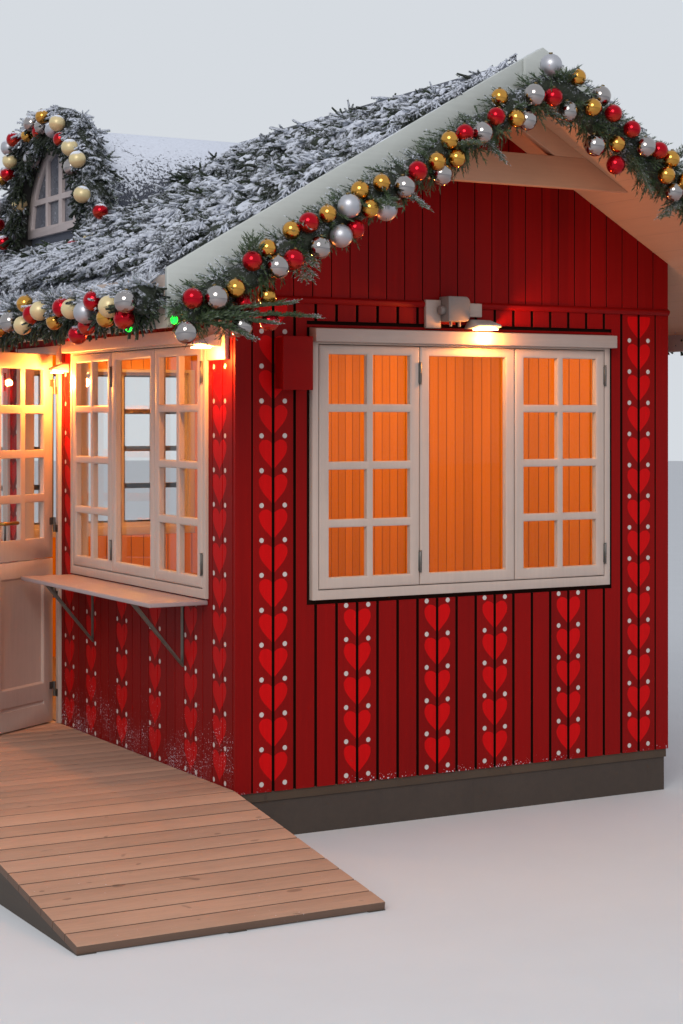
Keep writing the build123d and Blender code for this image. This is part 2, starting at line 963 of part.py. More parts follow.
def tapered_head():
    """The floodlight under the right plate: wide at its lower edge, narrower at the top."""
    x1 = lamp_x + lamp_width / 2 + lamp_head_overhang
    z0 = lamp_bottom() + lamp_head_rise
    head = Pos(x1 - lamp_head_width / 2, -half_length, z0) * lamp_head(
        lamp_head_width, lamp_head_depth, lamp_head_height
    )
    for x, way in [(x1 - lamp_head_width, 1), (x1, -1)]:
        corner = [(x, z0), (x + way * lamp_head_taper, z0 + lamp_head_height), (x, z0 + lamp_head_height)]
        head -= prism_along_y(corner, -half_length - lamp_head_depth - 1, -half_length + 1)
    return head


def lamps():
    """Three floodlights, the one on the gable beside a sensor drum."""
    turned = Rot(0, 0, -90)
    c0, c1 = corner_plate_span()
    corner_z = wall_base + corner_plate_height_above_base + corner_lamp_height
    corner = turned * lamp_head(c1 - c0 - 2 * corner_lamp_inset, lamp_head_depth, corner_lamp_height)
    corner_place = Pos(-half_width - lamp_board_thickness, (c0 + c1) / 2, corner_z)
    by_door = turned * lamp_head(door_lamp_width, door_lamp_depth, door_lamp_height)
    door_place = Pos(-half_width, -door_lamp_offset, wall_base + door_lamp_height_above_base)
    return group([tapered_head(), sensor_drum(), corner_place * corner, door_place * by_door])


# Fir branches and garlands


def bough_course(low, high, y0, y1):
    """A course of ridged boughs side by side, thick at its lower end and thin where the next one laps it."""
    count = round((y1 - y0) / bough_width)
    step = (y1 - y0) / count
    top = roof_top_ridge + low * slope + (branch_gap + bough_butt) * plumb
    profile = [(y1, roof_top_ridge + low * slope), (y0, roof_top_ridge + low * slope)]
    for i in range(count):
        profile.append((y0 + i * step, top - bough_valley))
        profile.append((y0 + (i + 0.5) * step, top))
    profile.append((y1, top - bough_valley))
    rise = (high - low) * slope - (bough_butt - bough_tip) * plumb
    outline = Polyline(*[(low, y, z) for y, z in profile], close=True)
    course = extrude(make_face(outline), amount=math.hypot(high - low, rise), dir=(high - low, 0, rise))
    return course - below_roof(branch_gap)


def branch_cover():
    """Boughs laid in courses on both slopes, left open round the dormer."""
    eave = -roof_half_span + branch_edge
    pitch = (-ridge_cap_width / 2 - branch_edge - eave) / bough_courses
    side = dormer_radius + branch_edge
    y_edge = roof_end - branch_edge
    hood = dormer_front_x - dormer_hood - branch_edge
    solids = []
    for i in range(bough_courses):
        low = eave + i * pitch
        high = low + pitch - branch_gap
        near = bough_course(low, high, -y_edge, -side)
        whole = bough_course(low, high, -y_edge, y_edge)
        solids += [near, mirror_in_y(near), mirror_in_x(whole)]
        if low < hood:
            below = bough_course(low, high, -side + branch_edge / 2, side - branch_edge / 2)
            solids.append(below - block(hood, 0, -side, side, 0, roof_top_ridge))
    return group(solids)


def gable_garlands():
    """A garland along the lower half of each bargeboard, meeting its twin in a plumb joint at the peak."""
    top = roof_top_ridge + bargeboard_rise * plumb
    y = -roof_end - bargeboard_thickness - garland_gap - garland_radius
    foot = Vector(-roof_half_span, y, top - roof_half_span * slope - garland_foot_drop)
    along = Vector(0, y, top - garland_peak_drop) - foot
    ring = Plane(origin=foot, z_dir=along) * Circle(garland_radius)
    run = extrude(ring, amount=along.length + garland_radius)
    past_peak = block(-ridge_joint / 2, half_width, y - 2 * garland_radius, -roof_end, eave_z, 2 * ridge_z)
    seat = Pos(0, -garland_gap, 0) * peak_piece() + peak_piece()
    left = run - past_peak - seat
    pair = [left, mirror_in_x(left)]
    return group(pair + [mirror_in_y(piece) for piece in pair])


def eave_garlands():
    """A garland in front of each eave board."""
    x = -roof_half_span - fascia_thickness - garland_gap - garland_radius
    z = soffit_z(roof_half_span) + eave_garland_rise
    run = Pos(x, -roof_end, z) * (
        Rot(-90, 0, 0) * Cylinder(garland_radius, 2 * roof_end, align=(Align.CENTER, Align.CENTER, Align.MIN))
    )
    return group([run, mirror_in_x(run)])


def dormer_garland():
    """A garland wrapped round the front edge of the vault, down to the branches on both sides."""
    x0 = dormer_front_x - dormer_hood - dormer_garland_lap
    x1 = x0 + dormer_garland_depth
    seat = dormer_radius + garland_gap
    outer = arch_body(seat + dormer_garland_thickness, x0, x1, dormer_foot())
    inner = arch_body(seat, x0 - 1, x1 + 1, dormer_foot() - 1)
    return outer - inner - below_roof(bough_butt + 2 * branch_gap)


gable = gable_wall()
serving = serving_wall()
left_slope = roof_slope()

nodes = {
    "ground_beams": ground_beams(),
    "floor": floor(),
    "front_wall": gable,
    "rear_wall": mirror_in_y(gable),
    "right_wall": mirror_in_x(side_wall(-inner_y, inner_y)),
    "serving_wall_near": serving,
    "serving_wall_far": mirror_in_y(serving),
    "wall_over_door": side_wall(-door_outer / 2, door_outer / 2, door_head_top),
    "belt_mouldings": belt_mouldings(),
    "window_casings": at_windows(lambda: [casing()]),
    "window_sashes": at_windows(sashes),
    "window_glass": at_windows(glass_sheets),
    "window_head_boards": at_windows(lambda: [head_board()]),
    "door_frame": door_frame(),
    "door_lower_leaf": opened(lower_leaf()),
    "door_upper_leaf": opened(upper_leaf()),
    "door_glass": opened(upper_glass()),
    "door_frame_hinges": frame_hinges(),
    "lower_leaf_hinges": leaf_hinges("lower"),
    "upper_leaf_hinges": leaf_hinges("upper"),
    "door_lock_plate": lock_plate(),
    "door_lever": door_lever(),
    "roof_left": left_slope,
    "roof_right": mirror_in_x(left_slope),
    "ridge_cap": ridge_cap(),
    "bargeboards": bargeboards(),
    "peak_pieces": group([peak_piece(), mirror_in_y(peak_piece())]),
    "eave_fascias": fascias(),
    "truss_rafters": truss_rafters(),
    "truss_collars": collars(),
    "dormer_roof": dormer_roof(),
    "dormer_front": dormer_front(),
    "dormer_window": dormer_window(),
    "dormer_glass": dormer_glass(),
    "shelves": near_side(shelf),
    "shelf_brackets": brackets(),
    "deck_boards": deck_boards(),
    "ramp_boards": ramp_boards(),
    "deck_joists": joists(),
    "meter_box": meter_box(),
    "lamp_boards": lamp_boards(),
    "lamps": lamps(),
    "branch_cover": branch_cover(),
    "gable_garlands": gable_garlands(),
    "eave_garlands": eave_garlands(),
    "dormer_garland": dormer_garland(),
}

os.makedirs("parts", exist_ok=True)
for name, shape in nodes.items():
    export_step(shape, os.path.join("parts", name + ".step"))
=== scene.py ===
"""Dresses the timber market hut: boards, windows, door, roof, lamps, fir branches and glass balls.

The frame is in metres. The hut's serving side faces -X, its gable front faces -Y and +Z is up.
"""

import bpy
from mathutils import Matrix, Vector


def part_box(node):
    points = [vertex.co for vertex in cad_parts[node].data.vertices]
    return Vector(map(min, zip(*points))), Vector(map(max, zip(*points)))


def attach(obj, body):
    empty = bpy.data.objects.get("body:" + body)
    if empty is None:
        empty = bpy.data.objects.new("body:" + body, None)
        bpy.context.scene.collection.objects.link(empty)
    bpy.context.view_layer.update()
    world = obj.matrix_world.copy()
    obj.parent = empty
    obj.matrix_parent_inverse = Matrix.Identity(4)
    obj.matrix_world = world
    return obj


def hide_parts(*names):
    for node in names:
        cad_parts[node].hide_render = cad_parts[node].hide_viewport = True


bl_info = {
    "name": "Market Hut",
    "version": (1, 0, 0),
    "blender": (4, 5, 0),
    "location": "View3D > Sidebar > Market Hut",
    "description": "Builds the boards, windows, roof, lamps and winter decoration of a market hut",
    "category": "Object",
}

import math

import bpy
import numpy as np
from bpy.props import FloatProperty, FloatVectorProperty, IntProperty, PointerProperty
from mathutils import Matrix, Vector

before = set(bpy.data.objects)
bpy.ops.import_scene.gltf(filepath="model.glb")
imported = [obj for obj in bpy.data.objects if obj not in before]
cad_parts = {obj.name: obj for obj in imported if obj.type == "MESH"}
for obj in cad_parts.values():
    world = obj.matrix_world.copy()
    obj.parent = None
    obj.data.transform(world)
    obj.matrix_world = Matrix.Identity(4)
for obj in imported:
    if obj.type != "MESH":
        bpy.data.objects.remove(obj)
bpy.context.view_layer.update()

# Places that the frame gives
WALL_LOW, WALL_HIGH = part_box("front_wall")
SIDE_X = WALL_HIGH.x
GABLE_Y = WALL_LOW.y
WALL_BASE = WALL_LOW.z
RIDGE_SOFFIT = WALL_HIGH.z
ROOF_LOW, ROOF_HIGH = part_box("roof_left")
SLOPE = (RIDGE_SOFFIT - ROOF_LOW.z) / -ROOF_LOW.x
PITCH = math.atan(SLOPE)
EAVE_TOP = RIDGE_SOFFIT - SIDE_X * SLOPE
SASH_LOW, SASH_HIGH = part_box("window_casings")
WINDOW_HALF = SASH_HIGH.x
# Distance of the serving windows' middle from the middle of the long wall
SERVING_CENTRE = 1.281
BELT_LOW, BELT_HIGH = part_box("belt_mouldings")
HEAD_LOW, HEAD_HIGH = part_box("window_head_boards")
DECK_LOW, DECK_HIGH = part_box("deck_boards")
RAMP_LOW, RAMP_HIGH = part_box("ramp_boards")

# Outward faces of the walls: local x runs right as seen from outside, local y inwards
WALL_PLACES = {
    "front": Matrix.Translation((0, GABLE_Y, 0)),
    "rear": Matrix.Translation((0, -GABLE_Y, 0)) @ Matrix.Rotation(math.pi, 4, "Z"),
    "serving": Matrix.Translation((-SIDE_X, 0, 0)) @ Matrix.Rotation(-math.pi / 2, 4, "Z"),
    "right": Matrix.Translation((SIDE_X, 0, 0)) @ Matrix.Rotation(math.pi / 2, 4, "Z"),
}


def tone(red, green, blue):
    """A colour as a screen shows it, 0 to 255, as the linear values that a shader takes."""

    def linear(value):
        value = value / 255
        return value / 12.92 if value <= 0.04045 else ((value + 0.055) / 1.055) ** 2.4

    return (linear(red), linear(green), linear(blue))


# Sizes and colours that a user would change


def colour(name, description, default):
    settings = {"subtype": "COLOR", "min": 0, "max": 1}
    return FloatVectorProperty(name=name, description=description, default=default, **settings)


def length(name, description, default):
    return FloatProperty(name=name, description=description, default=default, unit="LENGTH", min=0)


def tally(name, description, default):
    return IntProperty(name=name, description=description, default=default, min=1)


class HutSizes(bpy.types.PropertyGroup):
    """Sizes of the boards and of the decoration."""

    board_depth: length("Board depth", "Thickness of the cladding boards in front of the wall", 0.014)
    gable_boards: tally("Gable boards", "Boards across the gable below the belt", 21)
    gable_groove: length("Gable groove", "Dark gap between the boards below the belt", 0.0125)
    corner_board: length("Corner board", "Width of the plain board at each corner of the gable", 0.077)
    upper_boards: tally("Upper boards", "Boards across the gable above the belt", 25)
    upper_groove: length("Upper groove", "Joint between the boards above the belt", 0.003)
    side_pitch: length("Side pitch", "Distance from board to board on the long walls", 0.0982)
    side_groove: length("Side groove", "Joint between the boards of the long walls", 0.005)
    side_column: length("First side column", "From the wall's middle to its first painted column", 2.195)
    casing_strip: length("Casing strip", "Dark strip between boards and casing on the gables", 0.020)
    moulding_width: length("Moulding width", "Width of the slope round each window pane", 0.0065)
    moulding_height: length("Moulding height", "Height of the slope round each window pane", 0.004)
    sash_hinge: length("Sash hinge", "Height of a casement hinge", 0.095)
    head_gap: length("Head gap", "Height over the gable's head board that the boards start at", 0.029)
    head_batten: length("Head batten", "Height of the batten on the gable's head board", 0.013)
    heart_step: length("Heart step", "Height from one painted heart to the next", 0.149)
    heart_half: length("Heart half width", "Half the width of a painted heart", 0.069)
    dot_radius: length("Dot radius", "Radius of the painted dots", 0.0108)
    deck_pitch: length("Deck pitch", "Distance from board to board on the deck and ramp", 0.115)
    deck_gap: length("Deck gap", "Gap between the deck boards", 0.0045)
    needle_length: length("Needle length", "Length of a fir needle", 0.0155)
    needle_width: length("Needle width", "Width of a fir needle with its frost", 0.0045)
    sprig_length: length("Sprig length", "Length of a fir sprig", 0.085)
    slope_sprigs: tally("Slope sprigs", "Fir sprigs to a square metre of roof", 285)
    slope_lumps: tally("Snow cushions", "Cushions of snow to a square metre", 70)
    garland_sprigs: tally("Garland sprigs", "Fir sprigs to a metre of garland", 250)
    ball_radius: length("Ball radius", "Radius of a glass ball", 0.040)


class HutColours(bpy.types.PropertyGroup):
    """Colours of the paints, timbers and decoration."""

    red: colour("Red", "Paint of the boards", tone(140, 5, 3))
    heart: colour("Heart", "Paint of the hearts", tone(200, 2, 5))
    dot: colour("Dot", "Paint of the dots", tone(205, 196, 190))
    groove: colour("Groove", "Shaded wood in the grooves", tone(34, 17, 11))
    cream: colour("Cream", "Paint of frames, casings and trim", tone(194, 174, 162))
    barge: colour("Bargeboards", "Paint of the bargeboards", tone(186, 190, 186))
    # The soffit's cream is mixed with painted warm lamp light
    soffit: colour("Soffit", "Paint of the underside of the roof, warmed with painted lamp light", tone(202, 146, 112))
    lining: colour("Lining", "Boards that line the inside", tone(205, 130, 12))
    # Warmer than the grey-brown weathered wood: partly painted warm lamp light
    timber: colour("Timber", "Weathered deck boards, warmed with painted lamp light", tone(204, 156, 128))
    floor: colour("Floor", "Floor boards", tone(140, 104, 70))
    felt: colour("Felt", "Roof felt", tone(80, 84, 96))
    snow: colour("Snow", "Frost and snow", tone(226, 231, 243))
    fir: colour("Fir", "Fir needles", tone(56, 80, 50))
    steel: colour("Steel", "Hinges and brackets", tone(112, 110, 106))
    brass: colour("Brass", "Lock plate and lever", tone(168, 132, 70))
    plastic: colour("Plastic", "Lamp housings", tone(176, 172, 168))
    glow: colour("Glow", "Light of the lamps", tone(255, 190, 110))


def sizes():
    return bpy.context.scene.hut_sizes


def colours():
    return bpy.context.scene.hut_colours


# Shader maths


def math_node(operation):
    """A method that puts its value, and others, into one Math node."""
    return lambda value, *others: value.maths(operation, *others)


class Value:
    """One output of a node, with arithmetic that adds Math nodes."""

    def __init__(self, tree, socket):
        self.tree = tree
        self.socket = socket

    def maths(self, operation, *others):
        inputs = dict(enumerate((self,) + others))
        return self.tree.node("ShaderNodeMath", {"operation": operation}, inputs)

    __add__ = __radd__ = math_node("ADD")
    __sub__ = math_node("SUBTRACT")
    __mul__ = __rmul__ = math_node("MULTIPLY")
    __truediv__ = math_node("DIVIDE")
    __mod__ = math_node("FLOORED_MODULO")
    __pow__ = math_node("POWER")
    __lt__ = math_node("LESS_THAN")
    __gt__ = math_node("GREATER_THAN")
    __abs__ = math_node("ABSOLUTE")
    floor = math_node("FLOOR")
    least = math_node("MINIMUM")
    most = math_node("MAXIMUM")

    def __rsub__(self, other):
        return self.tree.node("ShaderNodeMath", {"operation": "SUBTRACT"}, {0: other, 1: self})

    def between(self, low, high):
        """0 below low, 1 above high and a smooth step from one to the other."""
        inputs = {"Value": self, "From Min": low, "From Max": high}
        return self.tree.node("ShaderNodeMapRange", {"interpolation_type": "SMOOTHSTEP"}, inputs)


class Tree:
    """A node tree in the making."""

    def __init__(self, node_tree):
        self.nodes = node_tree.nodes
        self.links = node_tree.links

    def feed(self, socket, value):
        """Links a value to a socket, or sets the socket's own number or colour."""
        if isinstance(value, Value):
            self.links.new(value.socket, socket)
        elif socket.type == "RGBA":
            socket.default_value = tuple(value)[:3] + (1.0,)
        else:
            socket.default_value = value

    def node(self, kind, settings=None, inputs=None, output=0):
        """Any node: its settings first, then its sockets. Gives one of its outputs."""
        made = self.nodes.new(kind)
        for key, value in (settings or {}).items():
            setattr(made, key, value)
        for key, value in (inputs or {}).items():
            self.feed(made.inputs[key], value)
        return Value(self, made.outputs[output])


class Finish(Tree):
    """A surface finish: a Principled shader fed by procedural patterns."""

    def __init__(self, name, **constants):
        self.material = bpy.data.materials.new(name)
        self.material.use_nodes = True
        super().__init__(self.material.node_tree)
        self.shader = self.nodes["Principled BSDF"]
        self.place = self.node("ShaderNodeTexCoord", output="Object")
        for key, value in constants.items():
            self.set(key.replace("_", " ").title(), value)

    def set(self, socket, value):
        self.feed(self.shader.inputs[socket], value)

    def axis(self, letter):
        return self.node("ShaderNodeSeparateXYZ", None, {0: self.place}, output=letter.upper())

    def facing(self, letter):
        """How much the surface faces along one axis, from -1 to 1."""
        normal = self.node("ShaderNodeNewGeometry", output="Normal")
        return self.node("ShaderNodeSeparateXYZ", None, {0: normal}, output=letter.upper())

    def facing_up(self):
        return self.facing("z")

    def noise(self, scale, detail=2.0, roughness=0.5, stretch=None):
        place = self.place
        if stretch:
            place = self.node("ShaderNodeVectorMath", {"operation": "MULTIPLY"}, {0: place, 1: stretch})
        inputs = {"Vector": place, "Scale": scale, "Detail": detail, "Roughness": roughness}
        return self.node("ShaderNodeTexNoise", None, inputs)

    def chance(self, number):
        """The same random value for every equal number."""
        settings = {"noise_dimensions": "1D"}
        return self.node("ShaderNodeTexWhiteNoise", settings, {"W": number}, output="Value")

    def attribute(self, name):
        return self.node("ShaderNodeAttribute", {"attribute_name": name}, output="Fac")

    def mix(self, factor, first, second):
        inputs = {0: factor, 6: first, 7: second}
        return self.node("ShaderNodeMix", {"data_type": "RGBA"}, inputs, output=2)

    def shade(self, base, factor):
        """A colour made darker or lighter by a varying factor."""
        grey = self.node("ShaderNodeCombineColor", None, {0: factor, 1: factor, 2: factor})
        inputs = {0: 1.0, 6: base, 7: grey}
        return self.node("ShaderNodeMix", {"data_type": "RGBA", "blend_type": "MULTIPLY"}, inputs, output=2)

    def bump(self, height, distance, strength=1.0):
        inputs = {"Height": height, "Distance": distance, "Strength": strength}
        self.set("Normal", self.node("ShaderNodeBump", None, inputs, output="Normal"))

    def done(self, shade, roughness=None, *bump):
        """Feeds the shader its colour, roughness and bump, and gives the material."""
        self.set("Base Color", shade)
        if roughness is not None:
            self.set("Roughness", roughness)
        if bump:
            self.bump(*bump)
        return self.material


def dusted(paint, base, low, high):
    """Snow on what faces up: it covers a colour where the slope and a fine noise allow it."""
    cover = paint.facing_up() + 0.5 * paint.noise(70.0, 3.0, 0.6) + 0.4 * paint.noise(9.0)
    return paint.mix(cover.between(low, high), base, colours().snow)


# Finishes


# Specular levels of paint and of bare wood in the shade
PAINT_SHINE = 0.12
WOOD_SHINE = 0.05


def drawn_out(along, across_scale, along_scale):
    """Scales for a pattern that is drawn out along one axis."""
    return tuple(along_scale if letter == along else across_scale for letter in "xyz")


def wood_grain(paint, along, coarse=55.0):
    """Fine streaks that run along one axis."""
    return paint.noise(1.0, 4.0, 0.6, drawn_out(along, coarse, coarse * 0.05))


def red_boards(name, along, columns, low_columns, low_limit, pitch, offset, spatter_height, depth):
    """Red paint with columns of hearts and dots. The pattern is the same left and right of the middle. A depth
    below 1 darkens the red and the hearts as painted shade.
    """
    size, shades = sizes(), colours()
    paint = Finish(name, roughness=0.5)
    across = abs(paint.axis(along))
    height = paint.axis("z")
    away = abs(across - columns[0])
    for column in columns[1:]:
        away = away.least(abs(across - column))
    low_away = None
    for column in low_columns:
        step = abs(across - column)
        low_away = step if low_away is None else low_away.least(step)
    if low_away is not None:
        away = away.least(low_away + (height > low_limit))
    wobble = (paint.noise(45.0) - 0.5) * 0.006
    step = size.heart_step
    dot_level, dot_distance = WALL_BASE + 0.034, 0.056
    tip_below_dot = 0.007
    tip = (height - dot_level + wobble + tip_below_dot) % step
    side = (away + wobble) / size.heart_half
    rise = (tip / (step * 0.46) - 0.78) * 1.25
    lobe = rise - side.most(0.0) ** 0.5
    heart = 1.0 - (lobe * lobe + side * side).between(0.92, 1.02)
    painted_to = BELT_LOW.z - 0.01 if along == "x" else EAVE_TOP
    heart = heart * (height < painted_to) * (height > WALL_BASE + 0.02)
    dot_rise = ((height - dot_level + step / 2) % step) - step / 2
    dot_side = away - dot_distance
    radius = (dot_rise * dot_rise + dot_side * dot_side) ** 0.5 + wobble * 0.4
    dot = 1.0 - radius.between(size.dot_radius * 0.86, size.dot_radius * 1.1)
    dot = dot * (height < painted_to)
    board = paint.chance(((paint.axis(along) - offset) / pitch).floor())
    grain = wood_grain(paint, "z")
    weather = paint.noise(3.0, 4.0, 0.6, (1.0, 1.0, 0.35))
    level = 0.80 + board * 0.22 + (grain - 0.5) * 0.25 + (weather - 0.5) * 0.35
    # Painted shade: depth darkens the red and the hearts
    base = paint.shade(shades.red, level * depth)
    base = paint.mix(heart, base, paint.shade(shades.heart, (0.85 + grain * 0.3) * depth))
    base = paint.mix(dot, base, paint.shade(shades.dot, 0.8 + grain * 0.3))
    worn = (paint.noise(38.0, 5.0, 0.7) - (height - WALL_BASE) * 0.35).between(0.62, 0.72)
    base = paint.mix(worn * 0.35, base, tone(88, 62, 52))
    spatter = paint.noise(120.0, 2.0, 0.6) + paint.noise(6.0) * 0.25
    reach = 1.0 - height.between(WALL_BASE, WALL_BASE + spatter_height)
    patchy = paint.noise(1.6, 2.0).between(0.38, 0.58)
    specks = (spatter + reach * 0.14).between(0.87, 0.92) * reach.between(0.02, 0.4) * patchy
    paint.set("Specular IOR Level", PAINT_SHINE)
    roughness = 0.42 + weather * 0.25 + specks * 0.2
    return paint.done(paint.mix(specks, base, shades.snow), roughness, grain + specks * 1.5, 0.0012, 0.55)


def plain_red(name, along):
    """The same red paint without the painted pattern."""
    paint = Finish(name)
    grain = wood_grain(paint, along)
    weather = paint.noise(4.0, 4.0, 0.6)
    base = paint.shade(colours().red, 0.72 + (grain - 0.5) * 0.25 + weather * 0.35)
    paint.set("Specular IOR Level", PAINT_SHINE)
    return paint.done(dusted(paint, base, 1.55, 1.75), 0.42 + weather * 0.25, grain, 0.0012, 0.5)


def painted_groove_shade():
    # Near-black wood: painted shade of the grooves, the board sides and the wall behind the boards
    paint = Finish("Groove wood in painted shade", roughness=0.8)
    grain = wood_grain(paint, "z")
    paint.set("Specular IOR Level", WOOD_SHINE)
    return paint.done(paint.shade(colours().groove, 0.6 + grain * 0.8), None, grain, 0.001)


def white_paint(name, base, along, dust=None):
    """Brushed paint on wood, a little dirty in places and thin with age."""
    paint = Finish(name)
    grain = wood_grain(paint, along, 70.0)
    dirt = paint.noise(5.0, 5.0, 0.65)
    thin = paint.noise(90.0, 3.0, 0.7)
    shade = paint.shade(base, 0.86 + (grain - 0.5) * 0.16 + dirt * 0.22)
    shade = paint.mix(thin.between(0.70, 0.80) * 0.4, shade, tone(140, 118, 96))
    if dust:
        shade = dusted(paint, shade, *dust)
    return paint.done(shade, 0.36 + dirt * 0.22, grain + thin * 0.3, 0.0008, 0.5)


def lining_boards():
    """Warm boards inside."""
    paint = Finish("Inside lining")
    pitch = 0.09
    around = paint.axis("x") + paint.axis("y")
    joint = (around % pitch).least(pitch - around % pitch).between(0.0015, 0.004)
    board = paint.chance((around / pitch).floor())
    grain = wood_grain(paint, "z")
    base = paint.shade(colours().lining, 0.75 + board * 0.2 + grain * 0.2)
    paint.set("Specular IOR Level", WOOD_SHINE)
    return paint.done(paint.shade(base, 0.35 + joint * 0.65), 0.5 + grain * 0.2, joint + grain * 0.2, 0.003)


def weathered_boards(name, base, along, across, pitch, offset):
    """Grey, weathered boards with their own tone each, streaks, stains, knots, specks of snow and painted
    shade on the faces that don't face up.
    """
    paint = Finish(name)
    number = ((paint.axis(across) - offset) / pitch).floor()
    own = paint.chance(number)
    other = paint.chance(number + 31.7)
    streak = paint.noise(1.0, 5.0, 0.65, drawn_out(along, 26.0, 1.6))
    fine = wood_grain(paint, along, 180.0)
    stain = paint.noise(1.7, 4.0, 0.6)
    level = 0.76 + own * 0.13 + (streak - 0.5) * 0.3 + (fine - 0.5) * 0.3 + (stain - 0.5) * 0.45
    tint = paint.mix(other * 0.25 + stain * 0.3, base, tone(140, 122, 108))
    wood = paint.shade(tint, level)
    knot = paint.noise(1.0, 0.0, 0.5, drawn_out(along, 26.0, 14.0)).between(0.80, 0.84)
    wood = paint.mix(knot * 0.5, wood, tone(92, 68, 52))
    # Painted shade: faces that don't face up, such as board edges and ends, are darkened
    wood = paint.shade(wood, 0.30 + 0.70 * paint.facing_up().between(0.2, 0.8))
    specks = (paint.noise(95.0, 2.0, 0.6) + paint.noise(2.2) * 0.3).between(0.90, 0.97)
    wood = paint.mix(specks * 0.8, wood, colours().snow)
    return paint.done(wood, 0.62 + streak * 0.2, streak + fine * 0.6, 0.002, 0.6)


def rough_timber(name, base):
    paint = Finish(name)
    grain = paint.noise(30.0, 5.0, 0.6, (1.0, 0.12, 1.0))
    stain = paint.noise(3.0, 3.0)
    return paint.done(paint.shade(base, 0.5 + grain * 0.5 + stain * 0.3), 0.7 + grain * 0.2, grain, 0.002)


def snowy_felt(name, low, high, crown):
    """Mineral felt, speckled with snow towards the crown, and with painted shade inside the dormer's hood."""
    shades = colours()
    felt = Finish(name)
    grit = felt.noise(420.0, 2.0, 0.7)
    tuft = felt.noise(70.0, 3.0, 0.75)
    drift = felt.noise(4.0, 2.0)
    height = felt.axis("z").between(low, high)
    cover = tuft + (drift - 0.5) * 0.25 + height * crown - 0.4 * (felt.facing_up() < 0.0)
    white = cover.between(0.53, 0.63)
    base = felt.shade(shades.felt, 0.6 + grit * 0.8)
    colour_over = felt.mix(white, base, felt.shade(shades.snow, 0.82 + tuft * 0.3))
    axis = dormer_ring()[0].z
    # Painted shade: the faces inside the dormer's hood are made dark grey
    inside = (felt.axis("y") * felt.facing("y") + (felt.axis("z") - axis) * felt.facing("z")) < -0.05
    shade = felt.mix(inside, colour_over, felt.shade(tone(40, 38, 36), 0.6 + tuft * 0.8))
    return felt.done(shade, 0.75 + grit * 0.2, white * 3.0 + grit * 0.4 + tuft, 0.004)


def roof_slab():
    """Felt on top, painted boards below, warmed with painted lamp light, told apart by the height over the
    soffit.
    """
    shades = colours()
    slab = Finish("Roof slab")
    over = slab.axis("z") - (RIDGE_SOFFIT - abs(slab.axis("x")) * SLOPE)
    top = over.between(0.05, 0.06)
    grain = wood_grain(slab, "y", 60.0)
    along, pitch = abs(slab.axis("x")), 0.12
    joint = (along % pitch).least(pitch - along % pitch).between(0.0005, 0.002)
    # The soffit colour holds painted warm lamp light
    under = slab.shade(shades.soffit, 0.78 + grain * 0.15 + joint * 0.12)
    grit = slab.noise(300.0, 2.0, 0.7)
    tuft = slab.noise(46.0, 3.0, 0.75)
    felt = slab.mix(tuft.between(0.42, 0.56), slab.shade(shades.felt, 0.6 + grit * 0.8), shades.snow)
    height = grain * 0.4 + joint * 0.5 + tuft * top * 3.0
    return slab.done(slab.mix(top, under, felt), 0.5 + top * 0.3 + grain * 0.1, height, 0.002)


def clear_glass():
    glass = Finish("Window glass", roughness=0.02, transmission_weight=1.0)
    glass.set("IOR", 1.25)
    smear = glass.noise(2.5, 4.0, 0.6)
    clear = glass.mix(smear, (0.93, 0.95, 0.94), (0.99, 0.99, 0.98))
    return glass.done(clear, smear.between(0.55, 0.9) * 0.05, glass.noise(1.3), 0.004, 0.15)


def frosted_glass():
    """Blind grey panes with frost at their edges."""
    glass = Finish("Frosted glass")
    frost = glass.noise(60.0, 4.0, 0.7)
    cloud = glass.noise(5.0)
    dark = glass.mix(cloud, tone(76, 78, 88), tone(104, 106, 116))
    shade = glass.mix(frost.between(0.58, 0.75), dark, colours().snow)
    return glass.done(shade, 0.12 + frost * 0.4, frost, 0.001)


def metal(name, base, roughness, metallic=1.0):
    """Metal with fine scratches and dull, slightly dirty patches."""
    part = Finish(name, metallic=metallic)
    scratch = part.noise(1.0, 3.0, 0.7, (400.0, 400.0, 30.0))
    patch = part.noise(28.0, 4.0, 0.6)
    return part.done(part.shade(base, 0.7 + patch * 0.5), roughness + patch * 0.25, scratch, 0.0003, 0.5)


def moulded(name, base):
    """Moulded plastic, yellowed a little, with dust on top."""
    part = Finish(name)
    texture = part.noise(900.0, 1.0)
    grime = part.noise(22.0, 4.0, 0.65)
    shade = part.shade(base, 0.82 + grime * 0.3)
    return part.done(dusted(part, shade, 1.5, 1.7), 0.4 + grime * 0.2, texture, 0.0003, 0.6)


def lamp_lens():
    lens = Finish("Lamp lens", roughness=0.3)
    rib = lens.noise(160.0, 1.0)
    lens.set("Emission Color", lens.mix(rib, colours().glow, tone(255, 214, 150)))
    lens.set("Emission Strength", 14.0)
    return lens.done(lens.mix(rib, tone(255, 226, 180), tone(255, 240, 214)))


def bulb(name, base, strength):
    glow = Finish(name, roughness=0.25)
    skin = glow.noise(120.0)
    glow.set("Emission Color", glow.shade(base, 0.85 + skin * 0.3))
    glow.set("Emission Strength", strength)
    return glow.done(glow.shade(base, 0.8 + skin * 0.3))


def fir_needles():
    """Dark needles, whitened by the frost that each sprig carries towards its tips."""
    shades = colours()
    fir = Finish("Fir needles")
    patch = fir.noise(7.0, 3.0)
    fine = fir.noise(85.0, 2.0, 0.6)
    green = fir.mix(patch, fir.shade(shades.fir, 0.75), fir.shade(tone(92, 110, 74), 0.9))
    frost = (fir.attribute("frost") + (fine - 0.5) * 0.55 + (patch - 0.5) * 0.35).between(0.28, 0.62)
    shade = fir.mix(frost, green, fir.shade(shades.snow, 0.75 + fine * 0.4))
    return fir.done(shade, 0.45 + frost * 0.35, fine, 0.002, 0.5)


